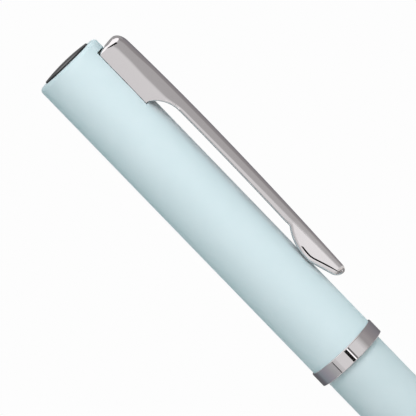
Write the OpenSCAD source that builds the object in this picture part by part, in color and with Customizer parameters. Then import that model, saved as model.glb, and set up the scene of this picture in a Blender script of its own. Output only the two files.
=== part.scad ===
// Metal-cased highlighter: capped, refillable, with a sprung pocket clip.
// Millimetres. The pen stands on its tail with the cap up: +Z runs from the tail to the cap's top,
// and the clip is on the +X side. The origin is the centre of the tail's flat end.

/* [Barrel] */
// Outside diameter of the barrel
barrel_d = 10.3; // [9.8:0.1:12]
// Length of the barrel, from the tail to its mouth
barrel_len = 74.4; // [66:0.1:90]
// Thickness of the drawn tube
barrel_wall = 0.5; // [0.4:0.05:0.6]
// Step down to the barrel's neck, inside the lip ring
neck_step = 0.2; // [0.16:0.02:0.24]
// Thickness of the turned-in tail
tail_wall = 0.8; // [0.6:0.1:1.4]
// Radius of the tail's outer edge
tail_edge = 0.5; // [0.2:0.1:0.8]
// Diameter of the disc let into the tail
tail_disc_d = 7.6; // [5:0.2:8]
// How far the tail disc lies below the tail's face
tail_recess = 0.15; // [0.05:0.05:0.4]
// Length of the plug behind the tail disc
tail_plug_len = 4.2; // [3:0.2:7]

/* [Cap] */
// Length of the cap, from the lower face of the lip ring to the top rim
cap_len = 62.1; // [58:0.1:72]
// How far the cap tube stands proud of the barrel, on the radius
cap_step = 0.55; // [0.45:0.05:0.9]
// Thickness of the drawn cap tube
cap_wall = 0.5; // [0.4:0.05:0.6]
// Thickness of the cap's turned-in top
cap_top_wall = 0.8; // [0.6:0.1:1.2]
// Radius of the cap's upper edge
cap_edge = 0.65; // [0.3:0.05:0.75]
// Diameter of the jewel in the cap's top
jewel_d = 8.5; // [6:0.1:8.8]
// Height of the jewel's straight edge over the cap's rim
jewel_edge = 0.33; // [0.1:0.01:0.6]
// Rise of the jewel's dome over that edge
jewel_rise = 0.12; // [0.08:0.02:0.6]
// Diameter of the stems of the jewel and the tail disc
stem_d = 2.8; // [2:0.1:3]

/* [Lip ring] */
// Height of the visible ring at the cap's mouth
ring_h = 2.5; // [2.2:0.1:4]
// How far the ring stands proud of the cap tube
ring_proud = 0.275; // [0.1:0.025:0.6]
// Radius of the ring's edges
ring_edge = 0.25; // [0.1:0.05:0.35]
// Depth by which the barrel's mouth sits inside the ring
mouth_depth = 0.6; // [0.3:0.1:0.9]
// Length of the ring's spigot inside the cap tube
ring_spigot = 4.7; // [3.5:0.1:7]

/* [Clip] */
// Distance from the cap's rim down to the clip's head
clip_drop = 1.85; // [1.7:0.05:4]
// Length of the clip
clip_len = 49.75; // [44:0.25:54]
// Width of the clip's head
clip_w = 4.0; // [3.8:0.1:4.6]
// Width of the arm below the head
arm_w = 3.2; // [2.8:0.1:3.4]
// Width of the clip above the belly
belly_w = 2.4; // [2.2:0.1:2.7]
// Width of the clip at its nose
nose_w = 1.6; // [1.4:0.1:1.8]
// Height of the clip's crown over the cap tube
clip_rise = 4.05; // [3.8:0.05:4.8]
// Half width of the flat along the clip's ridge
ridge_half = 0.4; // [0.3:0.05:0.6]
// Thickness of the formed sheet
clip_sheet = 0.5; // [0.4:0.05:0.55]
// Depth of the arm, over its folded sides
arm_depth = 1.9; // [1.6:0.05:2.1]
// Length of the clip's boxed head
head_len = 10.6; // [10:0.1:13]
// Radius of the head's upper corner
head_corner = 1.5; // [0.8:0.1:2]
// Radius of the sweep from the head to the arm
heel_sweep = 4.0; // [3:0.1:5]
// Radius of the belly's curve along the clip
belly_bow = 8.3; // [6.5:0.1:9]
// Radius of the belly's curve across the clip
belly_round = 1.1; // [1:0.05:1.3]
// Distance from the clip's nose to the middle of the belly
belly_back = 5.4; // [5:0.1:6.5]
// Gap between the belly and the cap tube
belly_gap = 0.1; // [0.05:0.05:0.4]
// Diameter of the clip's hinge pin
pin_d = 1.2; // [1:0.1:1.4]
// Wire of the clip's torsion spring
clip_wire = 0.35; // [0.25:0.05:0.4]
// Thickness of the hinge bracket
bracket_sheet = 0.45; // [0.35:0.05:0.5]

/* [Section] */
// Step from the barrel down to the section, on the radius
section_step = 0.6; // [0.5:0.05:0.9]
// Length of the section that the cap hides
section_len = 33; // [30:0.5:38]
// Radius of the section's nose, behind the cone
nose_r = 3.95; // [3.6:0.05:4.1]
// Length of the section's nose cone
cone_len = 4.6; // [3:0.1:6]
// Thickness of the trim ring between barrel and section
trim_h = 0.68; // [0.4:0.02:0.8]
// Length of the thread below the barrel's mouth
thread_len = 10; // [7:0.5:14]
// Depth of the thread sleeve inside the section
sleeve_seat = 5; // [3:0.5:8]
// Thickness of the thread bush in the barrel
bush_wall = 0.65; // [0.5:0.05:0.8]
// Thickness of the thread sleeve
sleeve_wall = 0.8; // [0.6:0.05:1]
// Cord of the seal ring
seal_cord = 0.7; // [0.5:0.05:0.9]
// Height of the snap ring
snap_h = 1.0; // [0.7:0.1:1.4]

/* [Refill] */
// Thickness of the refill's sleeve
refill_wall = 0.3; // [0.2:0.05:0.4]
// Length of the refill's sleeve
refill_len = 79; // [70:0.5:84]
// Length of the nib holder in front of its shoulder
holder_nose = 10.6; // [9.6:0.1:11.6]
// How far the holder stands out of the section
holder_out = 0.6; // [0.4:0.1:1]
// Length of the nib holder's part inside the sleeve
holder_tail = 3; // [2:0.5:4]
// Length of the rear plug's stub
end_stub = 2.4; // [1.8:0.1:2.6]
// Depth of the nib in the ink reservoir
nib_root = 5; // [3:0.5:8]
// Diameter of the felt nib
nib_d = 3.6; // [3:0.1:3.8]
// How far the nib stands out of its holder
nib_out = 5.1; // [4:0.1:7]
// Slant of the chisel's writing face
nib_slant = 35; // [20:1:50]
// Wire of the spring in the barrel
spring_wire = 0.6; // [0.4:0.05:0.8]
// Turns of the spring in the barrel
spring_turns = 7; // [5:1:9]

/* [Clearances] */
// Radial gap of a pressed fit
press_gap = 0.03; // [0.02:0.01:0.05]
// Radial gap of a running fit
run_gap = 0.05; // [0.03:0.01:0.08]
// Radial gap of the cap over the section and the barrel's mouth
cap_gap = 0.12; // [0.1:0.01:0.18]
// Gap between flat faces that seat on each other
seat_gap = 0.02; // [0.01:0.01:0.04]
// Gap round the clip in the cap's slot
slot_gap = 0.15; // [0.1:0.05:0.25]

/* [Hidden] */

round_fn = 96;       // facets shown on a round piece
cut_over = 1;        // how far a cutter runs past what it cuts
small_edge = 0.12;   // edges of the tail disc and the trim ring
neck_under = 0.1;    // the barrel's neck starts this far below the lip ring
sleeve_step = 0.27;  // step down to the thread sleeve's part inside the section
bush_in = 1;         // the thread bush lies this far inside the barrel's mouth
bush_under = 1.5;    // and reaches this far past the thread sleeve's end
stem_in = 1.7;       // a stem ends this far short of its plug's far face
stem_room = 0.4;     // room past the end of a stem
holder_wall = 0.35;  // wall of the nib holder's nose
core_gap = 4;        // from the nib holder's tail down to the reservoir's top
end_flange = 0.6;    // flange of the rear plug, which the spring presses on
boss_len = 2.7;      // length of the bosses in the spring's ends
boss_edge = 0.4;     // bevel on those bosses
boss_gap = 0.3;      // gap between a boss and the spring's wire
spring_in = 0.2;     // the spring's middle line lies this far inside the reservoir's radius
grip_straight = 7.5; // straight foot of the grip, up to where its taper starts
grip_waist = 17;     // from the grip's foot to its waist
waist_over = 0.25;   // how much wider than the nose the waist is
nose_len = 4;        // straight nose below the seal ring
tip_wall = 0.35;     // wall at the small end of the nose cone
snap_up = 2;         // from the grip's foot to the snap ring
snap_groove = 0.35;  // depth of the snap ring's groove
snap_split = 1.2;    // split in the snap ring
seal_back = 1.8;     // from the cone's foot down to the seal ring
seal_proud = 0.2;    // how far the seal ring stands out of its groove
seal_room = 0.1;     // how much longer than the cord that groove is
liner_under = 1.8;   // the inner cap narrows this far below the seal ring
liner_drop = 1;      // the inner cap ends this far below the clip's slot
liner_end = 1;       // thickness of the inner cap's end
crown_drop = 20;     // from the head's top down to the crown of the clip's back
wall_in = 1.2;       // the head's sides reach this far inside the cap tube's face
pivot_in = 1.5;      // the hinge pin lies this far inside that face
hollow_up = 1.8;     // the hollow under the arm ends this far above the belly
lug_wall = 0.7;      // wall of the clip's ears round the pin
hinge_room = 0.9;    // from the ears to the plug, and to the bracket's foot
bracket_back = 2.15; // from the pen's axis to the back of the bracket
bracket_gap = 0.1;   // gap between the bracket's ears and the clip's

shell_blue = [0.84, 0.92, 0.94];
polished = [0.78, 0.77, 0.78];
gloss_black = [0.05, 0.05, 0.06];
brass = [0.78, 0.66, 0.38];
spring_steel = [0.6, 0.6, 0.62];
liner_white = [0.9, 0.9, 0.88];
felt_yellow = [0.9, 0.93, 0.2];
seal_black = [0.1, 0.1, 0.1];

// Radii, from the barrel inwards and outwards
barrel_r = barrel_d / 2;
barrel_ir = barrel_r - barrel_wall;
neck_r = barrel_r - neck_step;
bush_r = barrel_ir - press_gap;
bush_ir = bush_r - bush_wall;
sleeve_r = bush_ir - run_gap;
sleeve_ir = sleeve_r - sleeve_wall;
sleeve_neck_r = sleeve_r - sleeve_step;
refill_r = sleeve_ir - run_gap - press_gap;
refill_ir = refill_r - refill_wall;
core_r = refill_ir - 2 * press_gap;
section_r = barrel_r - section_step;
cap_r = barrel_r + cap_step;
cap_ir = cap_r - cap_wall;
ring_r = cap_r + ring_proud;
spigot_r = cap_ir - press_gap;
cap_bore = section_r + cap_gap;
mouth_bore = barrel_r + cap_gap - seat_gap;
stem_r = stem_d / 2;
nib_r = nib_d / 2;
holder_r = nib_r + holder_wall;
spring_r = core_r - spring_in;
boss_r = spring_r - spring_wire / 2 - boss_gap;

// Heights, from the tail up
ring_z = barrel_len - mouth_depth;
neck_z = ring_z - neck_under;
cap_z = ring_z + cap_len;
cap_in_z = cap_z - cap_top_wall;
trim_z = barrel_len + seat_gap;
section_z = trim_z + trim_h;
section_top = section_z + section_len;
cone_z = section_top - cone_len;
mouth_step_z = section_z + seat_gap;
holder_top = section_top + holder_out;
refill_top = holder_top - holder_nose;
refill_z = refill_top - refill_len;
core_top = refill_top - holder_tail - core_gap;
nib_tail = core_top - nib_root;
nib_top = holder_top + nib_out;
plug_top = tail_wall + tail_plug_len;
stem_top = plug_top - stem_in;
spring_top = refill_z - end_flange;
spigot_top = ring_z + ring_h + ring_spigot;

// Seal and snap rings on the section
seal_groove_r = nose_r - seal_cord + seal_proud;
seal_r = seal_groove_r + seal_cord / 2 + seat_gap;
seal_z = cone_z - seal_back;
seal_slot = seal_cord + seal_room;
seal_bore = seal_r + seal_cord / 2 + run_gap;
snap_z = section_z + snap_up;
snap_groove_r = section_r - snap_groove;
snap_r = cap_bore - press_gap;

// Clip, in its side view: x is out from the axis, and z is up
clip_top = cap_z - clip_drop;
nose_z = clip_top - clip_len;
heel_z = clip_top - head_len;
crown_x = cap_r + clip_rise;
crown_z = clip_top - crown_drop;
head_bow = 430;     // radius of the back's curve above the crown
arm_bow = 775;      // radius of the back's curve below the crown
arm_z = heel_z - heel_sweep;
wall_x = cap_r - wall_in;
heel_out_x = cap_r + slot_gap;
belly_z = nose_z + belly_back;
bow_x = cap_r + belly_gap + belly_bow;
nose_edge = 0.5;    // radius of the nose, in the side view
pivot_x = cap_r - pivot_in;
pivot_z = clip_top - head_len / 2;
pin_r = pin_d / 2;
lug_r = pin_r + lug_wall;
bracket_w = clip_w - 2 * clip_sheet - 2 * bracket_gap;
bracket_top = clip_top - 1.0;
plug_z = pivot_z + lug_r + hinge_room;
liner_top = heel_z - liner_drop;
liner_step_z = seal_z - liner_under;

// Where the clip's back lies at a height
function back_x(z) = crown_x - pow(z - crown_z, 2) / (2 * (z > crown_z ? head_bow : arm_bow));

// Where the belly's curve meets the arm's underside, above the belly's middle
reach = sqrt(pow(belly_bow, 2) - pow(bow_x - back_x(belly_z + belly_back) + arm_depth, 2));
hollow_z = belly_z + reach + hollow_up;

// Points of an arc in the x-z plane
function arc(cx, cz, r, a0, a1, n = 6) =
    [for (i = [0:n]) let (a = a0 + (a1 - a0) * i / n) [cx + r * cos(a), cz + r * sin(a)]];

// Turns a profile round the pen's axis
module spin(points) {
    rotate_extrude($fn = round_fn) polygon(points);
}

// A plain tube
module tube(z0, z1, r_out, r_in) {
    spin([[r_in, z0], [r_out, z0], [r_out, z1], [r_in, z1]]);
}

// A solid disc or rod
module rod(z0, z1, r) {
    translate([0, 0, z0]) cylinder(h = z1 - z0, r = r, $fn = round_fn);
}

// Raises a side-view outline to a slab across the clip's width
module slab(width, y = 0) {
    translate([0, y + width / 2, 0]) rotate([90, 0, 0]) linear_extrude(height = width) children();
}

// A rod across the clip, on the hinge axis
module cross_rod(r, length) {
    translate([pivot_x, 0, pivot_z]) rotate([90, 0, 0])
        cylinder(h = length, r = r, center = true, $fn = 48);
}

// A round wire along a list of points: each ring is square to the path, and up is the coil's axis
module wire(path, r, up, sides = 8) {
    n = len(path);
    function along(i) = path[min(i + 1, n - 1)] - path[max(i - 1, 0)];
    function unit(v) = v / norm(v);
    function side_of(i) = unit(cross(along(i), up));
    function ring_points(i) =
        let (s = side_of(i), t = unit(cross(along(i), s)))
        [for (k = [0:sides - 1]) path[i] + r * (cos(360 * k / sides) * s + sin(360 * k / sides) * t)];
    points = [for (i = [0:n - 1]) each ring_points(i)];
    walls = [for (i = [0:n - 2]) for (k = [0:sides - 1])
        let (a = i * sides + k, b = i * sides + (k + 1) % sides) [a, a + sides, b + sides, b]];
    first = [[for (k = [0:sides - 1]) k]];
    last = [[for (k = [sides - 1:-1:0]) (n - 1) * sides + k]];
    polyhedron(points = points, faces = concat(walls, first, last), convexity = 10);
}

module barrel_tube() {
    color(shell_blue) spin(concat(
        [[tail_disc_d / 2 + press_gap, 0]],
        arc(barrel_r - tail_edge, tail_edge, tail_edge, -90, 0),
        [[barrel_r, neck_z], [neck_r, neck_z], [neck_r, barrel_len], [barrel_ir, barrel_len],
         [barrel_ir, tail_wall],
         [tail_disc_d / 2 + press_gap, tail_wall]]));
}

module barrel_thread_bush() {
    color(brass) tube(barrel_len - thread_len - bush_under, barrel_len - bush_in, bush_r, bush_ir);
}

module tail_plug() {
    hole = stem_r + press_gap;
    hole_top = stem_top + stem_room;
    color(liner_white) spin([
        [hole, tail_wall], [bush_r, tail_wall], [bush_r, plug_top], [boss_r, plug_top],
        [boss_r, plug_top + boss_len - boss_edge], [boss_r - boss_edge, plug_top + boss_len],
        [0, plug_top + boss_len],
        [0, hole_top], [hole, hole_top]]);
}

module tail_disc() {
    color(gloss_black) spin([
        [0, tail_recess], [tail_disc_d / 2 - small_edge, tail_recess],
        [tail_disc_d / 2, tail_recess + small_edge],
        [tail_disc_d / 2, tail_wall], [stem_r, tail_wall], [stem_r, stem_top], [0, stem_top]]);
}

module barrel_spring() {
    steps = 14;
    low = plug_top + spring_wire / 2 + seat_gap;
    high = spring_top - spring_wire / 2 - seat_gap;
    count = steps * spring_turns;
    color(spring_steel) wire([for (i = [0:count])
        [spring_r * cos(360 * i / steps), spring_r * sin(360 * i / steps), low + (high - low) * i / count]],
        spring_wire / 2, [0, 0, 1]);
}

module refill_tube() {
    color(liner_white) tube(refill_z, refill_top, refill_r, refill_ir);
}

module refill_end_plug() {
    color(liner_white) spin([
        [0, spring_top - boss_len], [boss_r - boss_edge, spring_top - boss_len],
        [boss_r, spring_top - boss_len + boss_edge], [boss_r, spring_top],
        [refill_r, spring_top], [refill_r, refill_z], [refill_ir - press_gap, refill_z],
        [refill_ir - press_gap, refill_z + end_stub], [0, refill_z + end_stub]]);
}

module fibre_core() {
    color(felt_yellow) spin([
        [0, refill_z + end_stub], [core_r, refill_z + end_stub], [core_r, core_top],
        [nib_r + press_gap, core_top], [nib_r + press_gap, nib_tail - seat_gap], [0, nib_tail - seat_gap]]);
}

module nib_holder() {
    flange_r = refill_ir - press_gap;
    bore = nib_r + press_gap;
    color(liner_white) spin([
        [bore, refill_top - holder_tail], [flange_r, refill_top - holder_tail], [flange_r, refill_top],
        [holder_r, refill_top], [holder_r, holder_top - 0.4], [holder_r - 0.25, holder_top],
        [bore, holder_top]]);
}

module felt_nib() {
    face = 2.2 * nib_r;
    color(felt_yellow) difference() {
        rod(nib_tail, nib_top, nib_r);
        translate([nib_r * 0.55, 0, nib_top]) rotate([0, nib_slant, 0])
            translate([-2 * face, -face, 0]) cube([4 * face, 2 * face, 2 * face]);
        for (side = [-1, 1])
            translate([0, side * nib_r * 0.62, nib_top - nib_out * 0.25]) rotate([-side * 14, 0, 0])
                translate([-face, side > 0 ? 0 : -face, -nib_out * 0.25]) cube([2 * face, face, nib_out]);
    }
}

module section_sleeve() {
    seat_top = section_z + sleeve_seat;
    color(brass) spin([
        [sleeve_ir, barrel_len - thread_len], [sleeve_r, barrel_len - thread_len],
        [sleeve_r, section_z - 0.1], [sleeve_neck_r, section_z - 0.1], [sleeve_neck_r, seat_top],
        [sleeve_ir, seat_top]]);
}

module section_ring() {
    bore = sleeve_r + press_gap;
    color(polished) spin([
        [bore, trim_z], [neck_r - small_edge, trim_z], [neck_r, trim_z + small_edge],
        [neck_r, section_z - small_edge], [neck_r - small_edge, section_z], [bore, section_z]]);
}

module section_grip() {
    seat_r = sleeve_neck_r + press_gap;
    seat_top = section_z + sleeve_seat + seat_gap;
    step_z = refill_top + seat_gap;
    neck = holder_r + run_gap + press_gap;
    color(gloss_black) spin([
        [seat_r, section_z], [section_r, section_z], [section_r, snap_z - seat_gap],
        [snap_groove_r, snap_z - seat_gap], [snap_groove_r, snap_z + snap_h + seat_gap],
        [section_r, snap_z + snap_h + seat_gap], [section_r, section_z + grip_straight],
        [nose_r + waist_over, section_z + grip_waist], [nose_r, seal_z - nose_len],
        [nose_r, seal_z], [seal_groove_r, seal_z], [seal_groove_r, seal_z + seal_slot],
        [nose_r, seal_z + seal_slot], [nose_r, cone_z], [neck + tip_wall, section_top - small_edge],
        [neck + tip_wall - small_edge, section_top], [neck, section_top], [neck, step_z],
        [sleeve_ir, step_z],
        [sleeve_ir, seat_top], [seat_r, seat_top]]);
}

module seal_ring() {
    color(seal_black) rotate_extrude($fn = round_fn)
        translate([seal_r, seal_z + seal_slot / 2]) circle(r = seal_cord / 2, $fn = 24);
}

module snap_ring() {
    color(spring_steel) difference() {
        tube(snap_z, snap_z + snap_h, snap_r, snap_groove_r + run_gap);
        translate([-snap_split / 2, -2 * snap_r, snap_z - cut_over])
            cube([snap_split, 2 * snap_r, snap_h + 2 * cut_over]);
    }
}

module cap_tube() {
    slot_w = clip_w + 2 * slot_gap;
    slot_low = clip_top - head_len - slot_gap;
    color(shell_blue) difference() {
        spin(concat(
            [[cap_r, ring_z + ring_h], [cap_r, cap_z - cap_edge]],
            arc(cap_r - cap_edge, cap_z - cap_edge, cap_edge, 0, 90),
            [[jewel_d / 2 + press_gap, cap_z], [jewel_d / 2 + press_gap, cap_in_z], [cap_ir, cap_in_z],
             [cap_ir, ring_z + ring_h]]));
        translate([cap_r / 2, -slot_w / 2, slot_low])
            cube([cap_r, slot_w, clip_top + slot_gap - slot_low]);
    }
}

module lip_ring() {
    top = ring_z + ring_h;
    color(polished) spin(concat(
        [[mouth_bore, ring_z]],
        arc(ring_r - ring_edge, ring_z + ring_edge, ring_edge, -90, 0),
        arc(ring_r - ring_edge, top - ring_edge, ring_edge, 0, 90),
        [[spigot_r, top], [spigot_r, spigot_top], [cap_bore, spigot_top],
         [cap_bore, mouth_step_z], [mouth_bore, mouth_step_z]]));
}

module inner_cap() {
    base = spigot_top + seat_gap;
    color(liner_white) spin([
        [cap_bore, base], [spigot_r, base], [spigot_r, liner_top], [0, liner_top],
        [0, liner_top - liner_end], [seal_bore, liner_top - liner_end],
        [seal_bore, liner_step_z], [cap_bore, liner_step_z - (cap_bore - seal_bore)]]);
}

module cap_plug() {
    pocket_w = clip_w + 3 * slot_gap;
    color(liner_white) difference() {
        rod(plug_z, cap_in_z, spigot_r);
        rod(plug_z - cut_over, cap_in_z + cut_over, stem_r + press_gap);
        translate([wall_x - 0.8, -pocket_w / 2, plug_z - cut_over])
            cube([cap_r, pocket_w, clip_top + 0.5 - plug_z + cut_over]);
        translate([bracket_back - press_gap, -bracket_w / 2 - press_gap, plug_z - cut_over])
            cube([bracket_sheet + 2 * press_gap, bracket_w + 2 * press_gap,
                  bracket_top + seat_gap - plug_z + cut_over]);
    }
}

module cap_jewel() {
    edge_r = jewel_d / 2;
    dome = (edge_r * edge_r + jewel_rise * jewel_rise) / (2 * jewel_rise);
    lean = asin(edge_r / dome);
    color(gloss_black) spin(concat(
        [[0, plug_z + stem_room], [stem_r, plug_z + stem_room], [stem_r, cap_in_z], [edge_r, cap_in_z]],
        arc(0, cap_z + jewel_edge + jewel_rise - dome, dome, 90 - lean, 90, 10)));
}

// The clip's outline from the side
module clip_outline() {
    corner_x = back_x(clip_top - head_corner) - head_corner;
    nose_x = back_x(nose_z + nose_edge) - nose_edge;
    heel_x = back_x(arm_z) - arm_depth - heel_sweep;
    heel_turn = acos((heel_out_x - heel_x) / heel_sweep);
    lean = asin(reach / belly_bow);
    keel = asin(min(0.98, (belly_back - nose_edge) / belly_bow));
    back_len = clip_len - head_corner - nose_edge;
    polygon(concat(
        [[wall_x, clip_top]],
        arc(corner_x, clip_top - head_corner, head_corner, 90, 0),
        [for (i = [1:19]) let (z = clip_top - head_corner - i * back_len / 20) [back_x(z), z]],
        arc(nose_x, nose_z + nose_edge, nose_edge, 0, -120),
        arc(bow_x, belly_z, belly_bow, 180 + keel, 180 - lean, 14),
        [for (i = [1:8])
            let (z = belly_z + reach + i * (arm_z - belly_z - reach) / 9) [back_x(z) - arm_depth, z]],
        arc(heel_x, arm_z, heel_sweep, 0, heel_turn, 8),
        [[heel_out_x, heel_z], [wall_x, heel_z]]));
}

// The outline of the hollow between the clip's folded sides
module clip_hollow() {
    inner_corner = max(0.3, head_corner - clip_sheet);
    corner_z = clip_top - clip_sheet - inner_corner;
    corner_x = back_x(corner_z) - clip_sheet - inner_corner;
    polygon(concat(
        [[wall_x - cut_over, clip_top - clip_sheet]],
        arc(corner_x, corner_z, inner_corner, 90, 0),
        [for (i = [1:14]) let (z = corner_z - i * (corner_z - hollow_z) / 14) [back_x(z) - clip_sheet, z]],
        [[wall_x - cut_over, hollow_z]]));
}

// The clip's outline from its back, moved in from the sides: it narrows from the head to the nose
module clip_plan(inset) {
    shoulder = heel_z - 1;
    sides = concat(
        [[clip_w / 2, clip_top + cut_over]],
        [for (i = [0:6])
            let (t = i / 6, width = arm_w + (clip_w - arm_w) * (1 + cos(180 * t)) / 2)
            [width / 2, shoulder - heel_sweep * t]],
        [[belly_w / 2, belly_z + belly_back], [nose_w / 2 + 0.1, nose_z + nose_w]],
        arc(0, nose_z + nose_w / 2, nose_w / 2, 0, -80));
    rotate([90, 0, 90]) linear_extrude(height = 2 * crown_x)
        polygon(concat(
            [for (p = sides) [p[0] - inset, p[1]]],
            [for (i = [len(sides) - 1:-1:0]) [inset - sides[i][0], sides[i][1]]]));
}

// Two slopes at 45 degrees, which meet in the ridge along the clip's back
module clip_roof(inset) {
    flat = ridge_half - inset * sqrt(2);
    intersection_for (side = [-1, 1])
        rotate([0, 0, 45 * side]) slab(3 * crown_x)
            polygon(concat(
                [[0, nose_z - cut_over]],
                [for (i = [-1:21]) let (z = nose_z + i * clip_len / 20) [(back_x(z) + flat) / sqrt(2), z]],
                [[0, clip_top + clip_len / 20]]));
}

// A disc on edge with a round rim, which shapes the belly's underside
module belly_disc() {
    translate([bow_x, 0, belly_z]) rotate([90, 0, 0]) rotate_extrude($fn = round_fn)
        polygon(concat([[0, -belly_round]], arc(belly_bow - belly_round, 0, belly_round, -90, 90, 12),
                       [[0, belly_round]]));
}

module clip() {
    belly_top = belly_z + reach;
    color(polished) difference() {
        union() {
            difference() {
                intersection() {
                    slab(clip_w) clip_outline();
                    clip_plan(0);
                    clip_roof(0);
                    union() {
                        belly_disc();
                        translate([0, -clip_w, belly_top]) cube([2 * crown_x, 2 * clip_w, clip_len]);
                    }
                }
                intersection() {
                    slab(clip_w) clip_hollow();
                    clip_plan(clip_sheet);
                    clip_roof(clip_sheet);
                }
            }
            for (side = [-1, 1])
                slab(clip_sheet, side * (clip_w - clip_sheet) / 2) clip_lug();
        }
        cross_rod(pin_r + run_gap, clip_w + 2 * cut_over);
    }
}

// The ear that reaches through the slot to the hinge pin
module clip_lug() {
    translate([pivot_x, pivot_z]) circle(r = lug_r, $fn = 48);
    translate([pivot_x, pivot_z - lug_r]) square([wall_x - pivot_x + 0.4, 2 * lug_r]);
}

module clip_bracket() {
    foot = pivot_z - lug_r - hinge_room;
    ear = (bracket_w - 2 * bracket_sheet) / 2;
    color(spring_steel) difference() {
        union() {
            translate([bracket_back, -bracket_w / 2, foot])
                cube([bracket_sheet, bracket_w, bracket_top - foot]);
            for (side = [-1, 1])
                slab(bracket_sheet, side * (ear + bracket_sheet / 2)) {
                    translate([pivot_x, pivot_z]) circle(r = lug_r - 0.1, $fn = 48);
                    translate([bracket_back, pivot_z - lug_r + 0.1])
                        square([pivot_x - bracket_back, 2 * lug_r - 0.2]);
                }
        }
        cross_rod(pin_r + press_gap, clip_w);
    }
}

module clip_pin() {
    color(spring_steel) cross_rod(pin_r, clip_w - 0.1);
}

module clip_spring() {
    coil_r = pin_r + clip_wire / 2 + 0.12;
    top_z = pivot_z + coil_r;
    turns = 3;
    steps = 16;
    half = (bracket_w - 2 * bracket_sheet - clip_wire) / 2 - 0.08;
    count = turns * steps;
    out_x = back_x(top_z) + ridge_half - clip_sheet * sqrt(2) - half - clip_wire - 0.2;
    in_x = bracket_back + bracket_sheet + seat_gap;
    color(spring_steel) wire(concat(
        [[out_x, half, top_z], [(out_x + pivot_x) / 2, half, top_z]],
        [for (i = [0:count])
            let (a = 90 + 360 * i / steps)
            [pivot_x + coil_r * cos(a), half - 2 * half * i / count, pivot_z + coil_r * sin(a)]],
        [[in_x, -half, top_z]]),
        clip_wire / 2, [0, 1, 0]);
}

barrel_tube();
barrel_thread_bush();
tail_plug();
tail_disc();
barrel_spring();
refill_tube();
refill_end_plug();
fibre_core();
nib_holder();
felt_nib();
section_sleeve();
section_ring();
section_grip();
seal_ring();
snap_ring();
cap_tube();
lip_ring();
inner_cap();
cap_plug();
cap_jewel();
clip();
clip_bracket();
clip_pin();
clip_spring();
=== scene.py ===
"""Dresses a metal-cased highlighter: a lacquered cap and barrel, a polished clip and rings, and the
writing end that the cap hides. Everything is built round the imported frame, in metres; the classes
hold their own sizes in millimetres."""
import logging
import math
from dataclasses import Field, dataclass, field
from enum import Enum
from typing import Sequence

import bmesh
import bpy
from mathutils import Matrix, Vector


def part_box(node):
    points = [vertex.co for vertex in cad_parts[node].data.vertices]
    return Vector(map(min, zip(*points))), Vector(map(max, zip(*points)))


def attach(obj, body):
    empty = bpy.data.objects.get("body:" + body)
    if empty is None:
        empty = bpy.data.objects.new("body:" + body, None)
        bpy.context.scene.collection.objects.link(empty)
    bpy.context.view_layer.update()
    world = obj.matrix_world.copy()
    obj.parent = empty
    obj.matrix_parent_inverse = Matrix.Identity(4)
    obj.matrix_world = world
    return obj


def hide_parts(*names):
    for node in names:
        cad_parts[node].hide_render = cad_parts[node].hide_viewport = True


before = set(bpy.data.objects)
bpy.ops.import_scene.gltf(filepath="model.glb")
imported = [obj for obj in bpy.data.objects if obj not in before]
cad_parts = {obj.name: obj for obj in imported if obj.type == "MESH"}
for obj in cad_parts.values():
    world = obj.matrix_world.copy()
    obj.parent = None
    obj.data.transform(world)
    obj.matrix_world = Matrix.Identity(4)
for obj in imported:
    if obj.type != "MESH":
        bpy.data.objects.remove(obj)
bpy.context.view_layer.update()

log = logging.getLogger("highlighter")

MM = 0.001                      # metres in a millimetre
ROUND = 160                     # columns round a turned piece
SHARP = math.radians(32)        # edges sharper than this are shown as creases

Point = tuple[float, float]
Place = tuple[float, float, float]
Tones = tuple[tuple[float, str], ...]
Material = bpy.types.Material
Tree = bpy.types.NodeTree
Socket = bpy.types.NodeSocket
Mesh = bmesh.types.BMesh
Row = list[bmesh.types.BMVert]
Piece = bpy.types.Object


# ---------------------------------------------------------------- colours and nodes

def srgb(code: str) -> tuple[float, float, float, float]:
    """Turns an sRGB hex colour to linear light.

    Args:
        code: the colour as "#RRGGBB".

    Returns:
        Red, green, blue and an alpha of 1, linear.
    """
    levels = [int(code[i:i + 2], 16) / 255 for i in (1, 3, 5)]
    linear = [v / 12.92 if v <= 0.04045 else ((v + 0.055) / 1.055) ** 2.4 for v in levels]
    return (*linear, 1.0)


def add_node(tree: Tree, kind: str, inputs: dict | None = None, **settings) -> bpy.types.Node:
    """Adds one node to a tree.

    Args:
        tree: the node tree.
        kind: the node's type name, without "ShaderNode".
        inputs: values for its input sockets, by name or index; an output socket given here is linked.
        settings: the node's own properties.

    Returns:
        The new node.
    """
    node = tree.nodes.new("ShaderNode" + kind)
    for name, value in settings.items():
        setattr(node, name, value)
    for name, value in (inputs or {}).items():
        if isinstance(value, Socket):
            tree.links.new(value, node.inputs[name])
        else:
            node.inputs[name].default_value = value
    return node


def noise(tree: Tree, across_mm: float, detail: float, stretch: Place | None = None,
          roughness: float = 0.5) -> Socket:
    """Adds a noise that is fixed to the piece.

    Args:
        tree: the node tree.
        across_mm: size of one feature.
        detail: number of finer octaves.
        stretch: factors on the three axes, small where the features are drawn out.
        roughness: weight of the finer octaves.

    Returns:
        The noise, from 0 to 1.
    """
    place = add_node(tree, "TexCoord").outputs["Object"]
    if stretch:
        place = add_node(tree, "Mapping", {"Vector": place, "Scale": stretch}).outputs["Vector"]
    return add_node(tree, "TexNoise", {"Vector": place, "Scale": 1 / (across_mm * MM), "Detail": detail,
                                       "Roughness": roughness}).outputs["Fac"]


def layered(tree: Tree, coarse: Socket, weight: float, fine: Socket) -> Socket:
    """Adds a weighted noise to another."""
    return add_node(tree, "Math", {0: coarse, 1: weight, 2: fine}, operation="MULTIPLY_ADD").outputs[0]


def between(tree: Tree, share: Socket, low: float, high: float) -> Socket:
    """A number that follows a noise from low to high."""
    return add_node(tree, "MapRange", {"Value": share, "To Min": low, "To Max": high}).outputs["Result"]


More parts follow.
